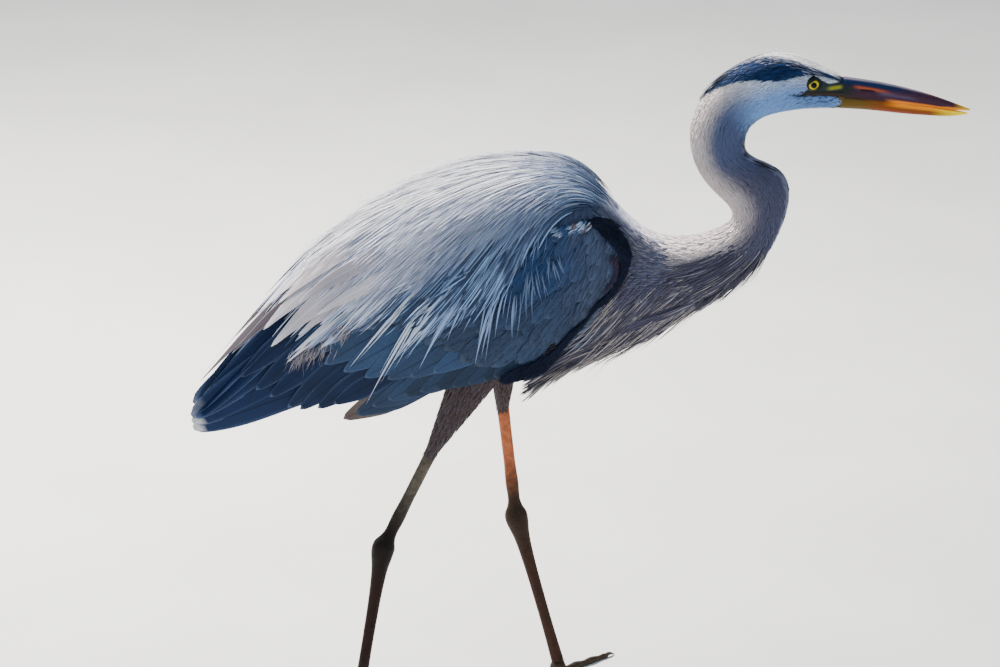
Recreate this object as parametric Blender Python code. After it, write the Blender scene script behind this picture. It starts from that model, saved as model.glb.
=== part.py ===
"""Great blue heron, an adult standing mid-stride, life size.

Metres, +Z up, the bill towards +X, the bird's right side towards -Y.
The origin is on the floor, at the centre of the bird's plan.

Three surfaces carry the whole bird:
  body    a loft along the spine, from the rump through the S of the neck to the bill's base
  mantle  the arched surface of the folded wings, over the body's back and sides
  limbs   round lofts along the leg and toe bones
Every sub-part is a stretch or a patch of one of these, parted from its neighbours by thin cuts.
"""

import math

import bmesh
import bpy
import numpy as np

# ---------------------------------------------------------------- driving sizes
CUT = 0.0003  # the width of the cuts between pieces
HALF_CUT = CUT / 2

# Body stations from rump to bill: back line (x, z), belly line (x, z), half width, and the
# share by which a ring is wider above its middle than below.
BODY = {
    "rump tip": (-0.326, 0.452, -0.292, 0.398, 0.018, 0.0),
    "rump": (-0.288, 0.507, -0.252, 0.374, 0.038, 0.0),
    "pelvis": (-0.240, 0.553, -0.205, 0.362, 0.056, 0.05),
    "hips": (-0.175, 0.594, -0.150, 0.362, 0.070, 0.10),
    "belly": (-0.100, 0.618, -0.088, 0.369, 0.077, 0.10),
    "breast": (-0.030, 0.623, -0.030, 0.393, 0.075, 0.08),
    "shoulders": (0.015, 0.600, 0.014, 0.411, 0.065, 0.05),
    "neck root": (0.047, 0.567, 0.054, 0.432, 0.049, 0.0),
    "crop": (0.080, 0.541, 0.098, 0.451, 0.035, 0.0),
    "lower neck": (0.118, 0.5365, 0.140, 0.463, 0.028, 0.0),
    "lower turn": (0.146, 0.5435, 0.183, 0.490, 0.0240, 0.0),
    "lower bend": (0.164, 0.554, 0.212, 0.525, 0.0230, 0.0),
    "middle bend": (0.165, 0.568, 0.229, 0.575, 0.0230, 0.0),
    "upper bend": (0.150, 0.584, 0.220, 0.610, 0.0230, 0.0),
    "middle neck": (0.132, 0.606, 0.190, 0.626, 0.0225, 0.0),
    "upper neck": (0.121, 0.635, 0.1805, 0.642, 0.0220, 0.0),
    "neck top": (0.122, 0.670, 0.186, 0.660, 0.0215, 0.0),
    "nape": (0.141, 0.705, 0.200, 0.672, 0.0210, 0.03),
    "hind crown": (0.176, 0.732, 0.221, 0.678, 0.0215, 0.08),
    "crown": (0.215, 0.7432, 0.241, 0.681, 0.0220, 0.10),
    "brow": (0.250, 0.735, 0.262, 0.6818, 0.0190, 0.08),
    "bill base": (0.2862, 0.7174, 0.2868, 0.6816, 0.0122, 0.0),
}
BODY_AROUND = 20  # points round a body ring

# Mantle sections, set upright across X: x, ridge height, height of the section's foot, half width.
MANTLE = {
    "tail end": (-0.432, 0.347, 0.300, 0.034),
    "tail": (-0.372, 0.424, 0.308, 0.041),
    "wing tips": (-0.306, 0.505, 0.328, 0.052),
    "rump": (-0.250, 0.553, 0.345, 0.061),
    "hips": (-0.152, 0.607, 0.370, 0.079),
    "back": (-0.054, 0.6265, 0.400, 0.087),
    "shoulders": (0.014, 0.605, 0.425, 0.079),
    "wing bend": (0.056, 0.561, 0.450, 0.059),
    "neck side": (0.085, 0.538, 0.462, 0.034),
}
ARCH_SHARE = 0.42  # of the way round a section, ridge to foot, that is the rounded back
ARCH_DROP = 0.30  # of a section's height that the rounded back takes
TUCK = 0.20  # of the half width by which the sides lean in at the foot
RIDGE_GAP = 0.0008  # where the two sides' patches start, just off the ridge

# The layers on the mantle, each from its outer to its inner face along the outward normal.
PLUME_LAYER = (0.0035, 0.0005)
WING_LAYER = (-0.0035, -0.0145)
VANE_LAYER = (-0.0050, -0.0082)
TAIL_LAYER = (-0.0108, -0.0145)
EDGE_GAP = 0.0006  # between tracts that meet edge to edge on the mantle

# Side-view outlines (x, z) of the wing's tracts, from the wing's bend back to its tip.
WING_TOP = ((0.022, 0.582), (-0.050, 0.592), (-0.120, 0.583), (-0.190, 0.557), (-0.264, 0.503))
WING_EDGE = ((0.030, 0.488), (-0.015, 0.444), (-0.080, 0.403), (-0.150, 0.426),
             (-0.225, 0.467), (-0.262, 0.497))
WING_BEND = 0.030  # by which the wing's front edge bulges forward
SECONDARY_TIPS = ((-0.100, 0.392), (-0.125, 0.389), (-0.155, 0.382), (-0.196, 0.370),
                  (-0.260, 0.341))
PRIMARY_TIPS = ((-0.330, 0.352), (-0.362, 0.368), (-0.374, 0.392), (-0.352, 0.430))
TERTIAL_ROOTS = ((-0.2315, 0.4680), (-0.2660, 0.5010), (-0.2760, 0.5180), (-0.272, 0.5360))
TERTIAL_TIPS = ((-0.356, 0.434), (-0.4125, 0.3735))
FEATHER_NOTCH = 0.08  # share of a feather's length by which the notches between tips are cut
PLUME_FRONT, PLUME_REAR = 0.034, -0.255  # where the plumes' roots run along the ridge
PLUME_TIPS = ((0.028, 0.552), (-0.045, 0.478), (-0.110, 0.418), (-0.175, 0.400),
              (-0.232, 0.376), (-0.285, 0.405), (-0.345, 0.456))
TAIL_EDGE = ((-0.274, 0.354), (-0.337, 0.336), (-0.372, 0.317), (-0.400, 0.311), (-0.424, 0.312))

EYE_PLACE = (0.2530, 0.0128, 0.7130)
EYE_RADIUS = 0.0092

# Bill stations: x, top height, bottom height, half width.
UPPER_BILL = (
    (0.2872, 0.7170, 0.6972, 0.0118),
    (0.3150, 0.7130, 0.6940, 0.0104),
    (0.3480, 0.7062, 0.6893, 0.0086),
    (0.3850, 0.6954, 0.6842, 0.0062),
    (0.4100, 0.6862, 0.6804, 0.0038),
    (0.4242, 0.6806, 0.6794, 0.0010),
)
LOWER_BILL = (
    (0.2872, 0.6969, 0.6816, 0.0108),
    (0.3150, 0.6937, 0.6797, 0.0096),
    (0.3480, 0.6890, 0.6760, 0.0080),
    (0.3850, 0.6832, 0.6731, 0.0056),
    (0.4050, 0.6792, 0.6727, 0.0036),
    (0.4215, 0.6764, 0.6748, 0.0010),
)

# Leg joints (x, z) and their distance from the midline. The right leg trails, the left leads.
HIP_Y, SHANK_Y, ANKLE_Y, FOOT_Y = 0.040, 0.047, 0.052, 0.0545
PAD_TOP = 0.0165  # height of the pad in which the toes meet
LEGS = {
    "right": {
        "thigh_top": (-0.098, 0.420),
        "thigh_depth": 0.031,
        "shank_top": (-0.1600, 0.3060),
        "ankle": (-0.2156, 0.1925),
        "foot": (-0.2442, PAD_TOP),
    },
    "left": {
        "thigh_top": (-0.082, 0.420),
        "thigh_depth": 0.022,
        "shank_top": (-0.0835, 0.3250),
        "ankle": (-0.0686, 0.1925),
        "foot": (-0.0210, PAD_TOP),
    },
}
SHANK_RADIUS = 0.0062
ANKLE_HALF = 0.011  # the shank ends this far above the ankle's middle

# Toes: length without the claw, heading from straight ahead (inwards is positive), claw length.
# The headings are square to the sides of the eight-sided pad.
TOES = {
    "inner": (0.072, 45.0, 0.012),
    "middle": (0.092, 0.0, 0.015),
    "outer": (0.080, -45.0, 0.012),
    "hind": (0.044, 180.0, 0.019),
}
TOE_RADIUS = 0.0048
PAD_REACH = 0.0092  # from the pad's middle to its sides

COLOURS = {
    "white": ((0.86, 0.85, 0.84, 1), 0.8),
    "black": ((0.02, 0.025, 0.04, 1), 0.6),
    "neck": ((0.42, 0.38, 0.42, 1), 0.85),
    "slate": ((0.20, 0.25, 0.33, 1), 0.75),
    "dark_slate": ((0.06, 0.08, 0.12, 1), 0.65),
    "silver": ((0.50, 0.52, 0.58, 1), 0.8),
    "brown_grey": ((0.36, 0.32, 0.33, 1), 0.8),
    "thigh": ((0.20, 0.12, 0.10, 1), 0.85),
    "leg": ((0.13, 0.085, 0.065, 1), 0.55),
    "claw": ((0.03, 0.025, 0.02, 1), 0.4),
    "bill": ((0.20, 0.10, 0.10, 1), 0.35),
    "bill_yellow": ((0.80, 0.38, 0.04, 1), 0.35),
    "eye": ((0.75, 0.60, 0.05, 1), 0.1),
}


# ---------------------------------------------------------------- curves
def spline(knots, values, at):
    """Natural cubic spline through (knot, value), read at the given places; values may be rows."""
    knots, values = np.asarray(knots, float), np.asarray(values, float)
    at = np.asarray(at, float)
    rows = values.reshape(len(knots), -1)
    step = np.diff(knots)
    slope = np.diff(rows, axis=0) / step[:, None]
    system = np.eye(len(knots))
    right = np.zeros_like(rows)
    for i in range(1, len(knots) - 1):
        system[i, i - 1 : i + 2] = step[i - 1], 2 * (step[i - 1] + step[i]), step[i]
        right[i] = 6 * (slope[i] - slope[i - 1])
    bend = np.linalg.solve(system, right)
    k = np.clip(np.searchsorted(knots, at.ravel()) - 1, 0, len(step) - 1)
    h, a = step[k, None], (at.ravel() - knots[k])[:, None]
    b = h - a
    found = (
        bend[k] * b**3 / (6 * h)
        + bend[k + 1] * a**3 / (6 * h)
        + (rows[k] / h - bend[k] * h / 6) * b
        + (rows[k + 1] / h - bend[k + 1] * h / 6) * a
    )
    return found.reshape(at.shape + values.shape[1:])


def curve(points, at):
    """A smooth curve through the points, read at shares of its length from 0 to 1."""
    points = np.asarray(points, float)
    chord = np.linalg.norm(np.diff(points, axis=0), axis=1)
    knots = np.concatenate([[0], np.cumsum(chord)]) / chord.sum()
    return spline(knots, points, at)


def unit(v):
    return v / np.linalg.norm(v, axis=-1, keepdims=True)


# ---------------------------------------------------------------- objects
def material(name):
    found = bpy.data.materials.get(name)
    if found:
        return found
    colour, roughness = COLOURS[name]
    made = bpy.data.materials.new(name)
    made.use_nodes = True
    shader = made.node_tree.nodes["Principled BSDF"]
    shader.inputs["Base Color"].default_value = colour
    shader.inputs["Roughness"].default_value = roughness
    shader.inputs["Metallic"].default_value = 0.0
    return made


def add_object(name, vertices, faces, finish):
    """A mesh object of triangles, turned outwards and shaded smooth."""
    mesh = bpy.data.meshes.new(name)
    mesh.from_pydata([tuple(v) for v in vertices], [], faces)
    work = bmesh.new()
    work.from_mesh(mesh)
    bmesh.ops.triangulate(work, faces=work.faces)
    bmesh.ops.recalc_face_normals(work, faces=work.faces)
    work.to_mesh(mesh)
    work.free()
    mesh.shade_smooth()
    mesh.set_sharp_from_angle(angle=math.radians(50))
    made = bpy.data.objects.new(name, mesh)
    bpy.context.scene.collection.objects.link(made)
    made.data.materials.append(material(finish))
    return made


def add_loft(name, rings, finish):
    """A closed solid through a stack of rings, each a loop of the same number of points."""
    count, around = rings.shape[:2]
    faces = [
        (i * around + j, i * around + (j + 1) % around,
         (i + 1) * around + (j + 1) % around, (i + 1) * around + j)
        for i in range(count - 1)
        for j in range(around)
    ]
    faces.append(tuple(range(around)))
    faces.append(tuple(range((count - 1) * around, count * around)))
    return add_object(name, rings.reshape(-1, 3), faces, finish)


def add_slab(name, outer, inner, finish):
    """A closed solid between two grids of points: both faces, and a strip round their border."""
    rows, columns = outer.shape[:2]
    size = rows * columns
    corner = lambda i, j: i * columns + j
    faces = []
    for i in range(rows - 1):
        for j in range(columns - 1):
            quad = (corner(i, j), corner(i, j + 1), corner(i + 1, j + 1), corner(i + 1, j))
            faces.append(quad)
            faces.append(tuple(size + k for k in reversed(quad)))
    border = (
        [corner(0, j) for j in range(columns)]
        + [corner(i, columns - 1) for i in range(1, rows)]
        + [corner(rows - 1, j) for j in range(columns - 2, -1, -1)]
        + [corner(i, 0) for i in range(rows - 2, 0, -1)]
    )
    for k, m in zip(border, border[1:] + border[:1]):
        faces.append((k, m, size + m, size + k))
    vertices = np.concatenate([outer.reshape(-1, 3), inner.reshape(-1, 3)])
    return add_object(name, vertices, faces, finish)


def add_cutter(obj):
    obj.hide_render = True
    obj.display_type = "WIRE"
    return obj


def cut(obj, *cutters):
    for cutter in cutters:
        modifier = obj.modifiers.new("cut by " + cutter.name, "BOOLEAN")
        modifier.operation = "DIFFERENCE"
        modifier.solver = "EXACT"
        modifier.object = cutter
    return obj


# ---------------------------------------------------------------- body
STATIONS = list(BODY)
RIBS = np.array(list(BODY.values()))


def rings_at(at, grow=0.0, shift=(0.0, 0.0)):
    """Body rings at the given stations, which may be fractions, grown outwards.

    A ring stands on the rib from the back line to the belly line: an oval whose long axis is the
    rib. shift moves the first and last ring along the spine, which opens a cut.
    """
    rib = spline(np.arange(len(RIBS)), RIBS, at)
    back, belly, half, egg = rib[:, 0:2], rib[:, 2:4], rib[:, 4] + grow, rib[:, 5]
    centre, up = (back + belly) / 2, (back - belly) / 2
    depth = np.linalg.norm(up, axis=1) + grow
    up = unit(up)
    ahead = np.stack([up[:, 1], -up[:, 0]], 1)
    centre[0] += ahead[0] * shift[0]
    centre[-1] += ahead[-1] * shift[1]
    angle = np.linspace(0, 2 * math.pi, BODY_AROUND, endpoint=False)
    return ring_points(centre, up, depth, half, egg, angle)


def ring_points(centre, up, depth, half, egg, angle):
    """Points of egg-shaped rings: cos(angle) up the rib, sin(angle) across, wider above by egg."""
    along = centre[:, None, :] + up[:, None, :] * (depth[:, None] * np.cos(angle))[..., None]
    width = 1 + egg[:, None] * np.cos(angle) - 0.5 * egg[:, None] * np.sin(angle) ** 2
    across = half[:, None] * np.sin(angle) * width
    return np.stack([along[..., 0], across, along[..., 1]], -1)


def station(name):
    return STATIONS.index(name)


def build_body():
    """The fleshy lengths of the bird, end to end. Returns the cutter that clears room for them."""
    lengths = (
        ("trunk", "rump tip", "neck root", 14, "slate"),
        ("neck_lower", "neck root", "lower turn", 6, "neck"),
        ("neck_bend", "lower turn", "upper bend", 7, "neck"),
        ("neck_middle", "upper bend", "upper neck", 5, "neck"),
        ("neck_upper", "upper neck", "nape", 5, "neck"),
        ("head", "nape", "bill base", 10, "white"),
    )
    places = []
    for name, start, end, count, finish in lengths:
        at = np.linspace(station(start), station(end), count)
        shift = (HALF_CUT if places else 0, -HALF_CUT)
        made = add_loft(name, rings_at(at, 0, shift), finish)
        places.append(at)
    room = np.concatenate([places[0], places[1][1:], places[2][1:]])
    return made, add_cutter(add_loft("body_room", rings_at(room, CUT * 1.5), "slate"))


def build_crest(side, sign):
    """The black plumes of the crown's side: a thin lens laid on the head, brow to nape."""
    share = np.linspace(0, 1, 8)
    at = station("brow") - 0.1 + share * (station("nape") - 0.45 - station("brow"))
    rib = spline(np.arange(len(RIBS)), RIBS, at)
    back, belly, half, egg = rib[:, 0:2], rib[:, 2:4], rib[:, 4], rib[:, 5]
    up = (back - belly) / 2
    depth = np.linalg.norm(up, axis=1)
    middle = math.radians(46) - math.radians(14) * share
    spread = math.radians(17) * np.sin(math.pi * (0.10 + 0.82 * share)) ** 0.8
    angle = middle[:, None] + spread[:, None] * np.linspace(-1, 1, 4)
    faces = [
        ring_points((back + belly) / 2, unit(up), depth + lift, half + lift, egg, angle)
        * np.array([1, sign, 1])
        for lift in (0.0018, 0.0006)
    ]
    add_slab("crest_" + side, *faces, "black")


def build_eye(head, side, sign):
    x, y, z = EYE_PLACE
    for name, radius in (("eye_" + side, EYE_RADIUS), ("socket_" + side, EYE_RADIUS + CUT)):
        bpy.ops.mesh.primitive_uv_sphere_add(
            segments=12, ring_count=8, radius=radius, location=(x, sign * y, z),
            rotation=(math.pi / 2, 0, 0),
        )
        made = bpy.context.object
        made.name = name
        made.data.materials.append(material("eye"))
        made.data.shade_smooth()
    cut(head, add_cutter(made))


def build_bill(name, stations, arch_up, finish):
    """A half of the bill: flat where the two halves close, arched on its outer side."""
    x, top, bottom, half = np.array(stations).T
    at = np.concatenate([np.linspace(x[0], x[-2], 6), np.linspace(x[-2], x[-1], 3)[1:]])
    top, bottom, half = (spline(x, v, at) for v in (top, bottom, half))
    angle = np.linspace(0, math.pi, 8)
    rise = np.sin(angle) ** 0.85
    across = half[:, None] * np.cos(angle)
    if arch_up:
        height = bottom[:, None] + (top - bottom)[:, None] * rise
    else:
        height = top[:, None] - (top - bottom)[:, None] * rise
    rings = np.stack([np.repeat(at[:, None], len(angle), 1), across, height], -1)
    add_loft(name, rings, finish)


# ---------------------------------------------------------------- mantle
SECTIONS = np.array(list(MANTLE.values()))


def mantle_section(x):
    """Ridge height, section height and half width at x."""
    ridge, foot, half = spline(SECTIONS[:, 0], SECTIONS[:, 1:], x).T
    return ridge.T, (ridge - foot).T, half.T


def mantle(x, q):
    """The mantle's right side at x, a share q of the way from the ridge to the section's foot."""
    ridge, height, half = mantle_section(x)
    turn = np.minimum(q / ARCH_SHARE, 1) * math.pi / 2
    down = np.maximum(q - ARCH_SHARE, 0) / (1 - ARCH_SHARE)
    drop = ARCH_DROP * (1 - np.cos(turn)) + (1 - ARCH_DROP) * down
    reach = np.sin(turn) - TUCK * down**2
    return np.stack([x, -half * reach, ridge - height * drop], -1)


def lifted(x, q, offset):
    """The mantle's point moved along its outward normal."""
    small = 1e-4
    along_x = mantle(x + small, q) - mantle(x - small, q)
    low, high = np.maximum(q - small, 0), q + small
    along_q = mantle(x, high) - mantle(x, low)
    return mantle(x, q) + unit(np.cross(along_q, along_x)) * offset


def round_from(x, z):
    """The share q at which the mantle's side stands at height z."""
    ridge, height, _ = mantle_section(x)
    share = np.clip((ridge - z) / height, 0, None)
    turn = np.arccos(np.clip(1 - share / ARCH_DROP, 0, 1)) / (math.pi / 2)
    below = ARCH_SHARE + (1 - ARCH_SHARE) * (share - ARCH_DROP) / (1 - ARCH_DROP)
    return np.maximum(np.where(share < ARCH_DROP, turn * ARCH_SHARE, below), RIDGE_GAP)


def edge(points, at):
    """A smooth edge through side-view points (x, z), as places (x, q) on the mantle."""
    path = curve(points, at)
    return np.stack([path[:, 0], round_from(path[:, 0], path[:, 1])], -1)


def add_patch(name, sign, root, tip, rows, layer, finish, bow=0.0):
    """A slab on the mantle from its root edge to its tip edge; bow pushes its front end forward."""
    share = np.linspace(0, 1, rows)[:, None, None]
    places = (1 - share) * root[None] + share * tip[None]
    ahead = np.linspace(1, 0, len(root)) ** 3
    places[..., 0] += bow * 4 * (share * (1 - share))[..., 0] * ahead
    outer, inner = (lifted(places[..., 0], places[..., 1], d) for d in layer)
    flip = np.array([1, -sign, 1])
    return add_slab(name, outer * flip, inner * flip, finish)


def lobes(count, at, sharpness):
    """0 between feathers and 1 at each feather's tip, along an edge of `count` feathers."""
    return np.abs(np.sin(math.pi * count * at)) ** sharpness


def below(points, gap):
    """Side-view points moved down and back by a gap, to start the next tract."""
    return [(x - gap, z - gap) for x, z in points]


def build_wing(side, sign, body_room, thigh_room):
    """The folded wing in its named tracts, each a patch of the mantle."""
    u = np.linspace(0, 1, 13)
    wing = add_patch(
        "wing_" + side, sign, edge(WING_TOP, u), edge(WING_EDGE, u), 6, WING_LAYER, "slate",
        bow=WING_BEND,
    )
    cut(wing, body_room, thigh_room)

    feathers = 5
    u = np.linspace(0, 1, 3 * feathers + 1)
    tips = edge(SECONDARY_TIPS, u)
    tips[:, 1] -= 0.016 * (1 - lobes(feathers, u, 0.6))
    roots = edge(below(WING_EDGE, EDGE_GAP), 0.41 + 0.41 * u)
    secondaries = add_patch("secondaries_" + side, sign, roots, tips, 3, VANE_LAYER, "slate")
    cut(secondaries, body_room, thigh_room)
    ahead, behind = roots[-1], tips[-1]

    feathers = 4
    u = np.linspace(0, 1, 3 * feathers + 1)
    roots = behind + (ahead - behind) * u[:, None] - (EDGE_GAP, 0)
    notches = FEATHER_NOTCH * (1 - lobes(feathers, u, 0.6))[:, None]
    tips = edge(PRIMARY_TIPS, u)
    tips += (roots - tips) * notches
    primaries = add_patch("primaries_" + side, sign, roots, tips, 4, VANE_LAYER, "dark_slate")
    cut(primaries, body_room)

    roots = edge(TERTIAL_ROOTS, u)
    lowest, rearmost = edge(TERTIAL_TIPS, np.array([0.0, 1.0]))
    tips = lowest + (rearmost - lowest) * u[:, None]
    tips += (roots - tips) * notches
    tertials = add_patch("tertials_" + side, sign, roots, tips, 6, VANE_LAYER, "brown_grey")
    cut(tertials, body_room)


def build_scapulars(side, sign, body_room):
    """The long plumes over the back and wing: one mantle patch with a pointed lower edge."""
    plumes = 10
    u = np.linspace(0, 1, 2 * plumes + 1)
    x = PLUME_FRONT + (PLUME_REAR - PLUME_FRONT) * u
    roots = np.stack([x, np.maximum(0.10 * (1 - u) ** 8, RIDGE_GAP)], 1)
    tips = edge(PLUME_TIPS, u)
    tips = roots + (tips - roots) * (0.82 + 0.18 * lobes(plumes, u, 1.6))[:, None]
    scapulars = add_patch("scapulars_" + side, sign, roots, tips, 7, PLUME_LAYER, "silver")
    cut(scapulars, body_room)


def build_tail(body_room):
    """The tail, arched over both sides like a roof, under the wing tips."""
    rows, columns = 9, 5
    low = curve(TAIL_EDGE, np.linspace(0, 1, columns))
    round_share = np.linspace(0, 1, rows)[:, None]
    foot = round_from(low[:, 0], low[:, 1])
    q = RIDGE_GAP + (foot - RIDGE_GAP) * round_share
    x = np.linspace(-0.316, -0.4315, columns) * (1 - round_share**3) + low[:, 0] * round_share**3
    grids = []
    for offset in TAIL_LAYER:
        right = lifted(x, q, offset)
        left = right[:0:-1] * np.array([1, -1, 1])
        grids.append(np.concatenate([left, right], axis=0))
    cut(add_slab("tail", grids[0], grids[1], "dark_slate"), body_room)


def build_breast_plumes(body_room):
    """The plumes that hang from the lower neck: a soft keel under the crop, ragged at its edge."""
    at = np.linspace(0, 1, 16)
    top = curve([(0.150, 0.480), (0.080, 0.462), (0.010, 0.435), (-0.046, 0.398)], at)
    low = curve([(0.156, 0.466), (0.111, 0.4385), (0.046, 0.407), (-0.020, 0.380),
                 (-0.055, 0.357)], at)
    low[:, 1] += 0.004 * (1 - lobes(5, at, 0.8))
    half = (0.006 + 0.028 * np.sin(math.pi * at) ** 0.7) * (1 - 0.35 * at)
    middle, depth = (top + low) / 2, (top - low) / 2
    angle = np.linspace(0, 2 * math.pi, 10, endpoint=False)
    width = np.sin(angle) * (1 + 0.45 * np.cos(angle)) / 1.15
    along = middle[:, None, :] + depth[:, None, :] * np.cos(angle)[None, :, None]
    across = half[:, None] * width
    rings = np.stack([along[..., 0], across, along[..., 1]], -1)
    cut(add_loft("breast_plumes", rings, "neck"), body_room)


# ---------------------------------------------------------------- legs
def limb_rings(points, heading, beside, depth, width, around, floor=False):
    """Oval rings square to the heading: width along `beside`, depth across it.

    With floor, whatever would sink is flattened at height 0.
    """
    heading = np.broadcast_to(heading, points.shape)
    up = unit(np.cross(beside, heading))
    across = np.cross(heading, up)
    angle = np.linspace(0, 2 * math.pi, around, endpoint=False)
    rings = (
        points[:, None, :]
        + up[:, None, :] * (depth[:, None] * np.cos(angle))[..., None]
        + across[:, None, :] * (width[:, None] * np.sin(angle))[..., None]
    )
    if floor:
        rings[..., 2] = np.maximum(rings[..., 2], 0.0)
    return rings


ACROSS = np.array([0.0, 1.0, 0.0])


def leg_joint(side, sign, name, y):
    x, z = LEGS[side][name]
    return np.array([x, sign * y, z])


def build_thigh(side, sign, body_room):
    """The feathered thigh, from inside the belly down to the bare shank."""
    top = leg_joint(side, sign, "thigh_top", HIP_Y)
    low = leg_joint(side, sign, "shank_top", SHANK_Y)
    down = unit(leg_joint(side, sign, "ankle", ANKLE_Y) - low)
    share = np.linspace(0, 1, 7)[:, None]
    path = top + (low - top) * share
    heading = unit(unit(low - top) * (1 - share**2) + down * share**2)
    fall = (1 - share[:, 0]) ** 0.95
    depth = SHANK_RADIUS + 0.0010 + (LEGS[side]["thigh_depth"] - SHANK_RADIUS) * fall
    width = SHANK_RADIUS + 0.0008 + 0.0125 * fall**0.7
    rings = limb_rings(path, heading, ACROSS, depth, width, 12)
    room = limb_rings(path, heading, ACROSS, depth + CUT * 1.5, width + CUT * 1.5, 12)
    cut(add_loft("thigh_" + side, rings, "thigh"), body_room)
    return add_cutter(add_loft("thigh_room_" + side, room, "thigh"))


def build_shank_and_tarsus(side, sign):
    """The bare shank down to the ankle, and the tarsus from the ankle's knob to the pad."""
    top = leg_joint(side, sign, "shank_top", SHANK_Y)
    ankle = leg_joint(side, sign, "ankle", ANKLE_Y)
    foot = leg_joint(side, sign, "foot", FOOT_Y)
    down, onward = unit(ankle - top), unit(foot - ankle)

    share = np.linspace(0, 1, 6)[:, None]
    start, end = top + down * CUT, ankle - down * ANKLE_HALF
    swell = share[:, 0] ** 5
    depth = SHANK_RADIUS * (1.08 - 0.10 * share[:, 0]) + 0.0030 * swell
    width = SHANK_RADIUS * 0.86 + 0.0026 * swell
    rings = limb_rings(start + (end - start) * share, down, ACROSS, depth, width, 10)
    add_loft("shank_" + side, rings, "leg")

    # Distance past the ankle's middle and depth of the tarsus there; the last ring lies level.
    knob = np.array([(-ANKLE_HALF + CUT, 0.0092), (-0.004, 0.0122), (0.002, 0.0127), (0.010, 0.0118),
                     (0.020, 0.0098), (0.036, 0.0080), (0.090, 0.0063), (0.140, 0.0062),
                     (np.linalg.norm(foot - ankle), 0.0074)])
    share = np.clip((knob[:, :1] + ANKLE_HALF) / (2 * ANKLE_HALF), 0, 1)
    path = ankle + np.where(knob[:, :1] < 0, down, onward) * knob[:, :1]
    heading = unit(down * (1 - share) + onward * share)
    heading[-1] = 0, 0, -1
    path[-1] = foot + np.array([0, 0, CUT])
    rings = limb_rings(path, heading, ACROSS, knob[:, 1], knob[:, 1] * 0.80, 10)
    add_loft("tarsus_" + side, rings, "leg")
    return foot


def build_foot(side, sign, foot):
    """The pad under the tarsus and four toes with claws, all resting on the floor."""
    middle = foot * np.array([1, 1, 0])
    level = np.array([0.0, 0.18, 0.55, 0.82, 1.0]) * foot[2]
    corner = PAD_REACH / math.cos(math.pi / 8) * np.array([0.90, 1.0, 1.0, 0.90, 0.76])
    angle = (np.arange(8) + 0.5) * math.pi / 4
    ring = np.stack([np.cos(angle), np.sin(angle), 0 * angle], -1)
    stack = middle + ring * corner[:, None, None]
    stack[..., 2] = level[:, None]
    add_loft("foot_pad_" + side, stack, "leg")

    for toe, (length, heading, claw) in TOES.items():
        turn = -sign * math.radians(heading)
        ahead = np.array([math.cos(turn), math.sin(turn), 0.0])
        beside = np.array([-ahead[1], ahead[0], 0.0])
        share = np.array([0, 0.12, 0.34, 0.50, 0.67, 0.84, 1.0])
        steps = PAD_REACH + CUT + (length - PAD_REACH - CUT) * share
        pads = 1 + 0.09 * np.cos(2 * math.pi * share * (3 if toe != "hind" else 2))
        radius = TOE_RADIUS * (1 - 0.36 * share) * pads
        radius[[0, -1]] = 0.0034, 0.0028
        path = middle + ahead * steps[:, None]
        path[:, 2] = radius * 0.86
        rings = limb_rings(path, ahead, beside, radius, radius * 0.92, 8, floor=True)
        add_loft(f"toe_{toe}_{side}", rings, "leg")

        share = np.linspace(0, 1, 5)
        steps = length + CUT + share * claw
        radius = 0.0024 * (1 - share) ** 0.8 + 0.0004
        path = middle + ahead * steps[:, None]
        path[:, 2] = radius + 0.0014 * np.sin(math.pi * share)
        rings = limb_rings(path, ahead, beside, radius, radius * 0.8, 6, floor=True)
        add_loft(f"claw_{toe}_{side}", rings, "claw")


# ---------------------------------------------------------------- the bird
def centre_on_floor():
    """Moves every mesh so that the origin is under the middle of the bird's plan."""
    bpy.context.view_layer.update()
    shown = [o for o in bpy.data.objects if o.type == "MESH" and not o.hide_render]
    corners = np.array([o.matrix_world @ v.co for o in shown for v in o.data.vertices])
    low, high = corners.min(0), corners.max(0)
    shift = np.array([(low[0] + high[0]) / 2, (low[1] + high[1]) / 2, low[2]])
    for obj in bpy.data.objects:
        obj.location = tuple(np.array(obj.location) - shift)


def main():
    for old in list(bpy.data.objects):
        bpy.data.objects.remove(old)
    head, body_room = build_body()
    build_bill("bill_upper", UPPER_BILL, True, "bill")
    build_bill("bill_lower", LOWER_BILL, False, "bill_yellow")
    build_tail(body_room)
    build_breast_plumes(body_room)
    for side, sign in (("right", -1), ("left", 1)):
        build_eye(head, side, sign)
        build_crest(side, sign)
        thigh_room = build_thigh(side, sign, body_room)
        foot = build_shank_and_tarsus(side, sign)
        build_foot(side, sign, foot)
        build_wing(side, sign, body_room, thigh_room)
        build_scapulars(side, sign, body_room)
    centre_on_floor()


main()
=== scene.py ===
import math

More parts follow.
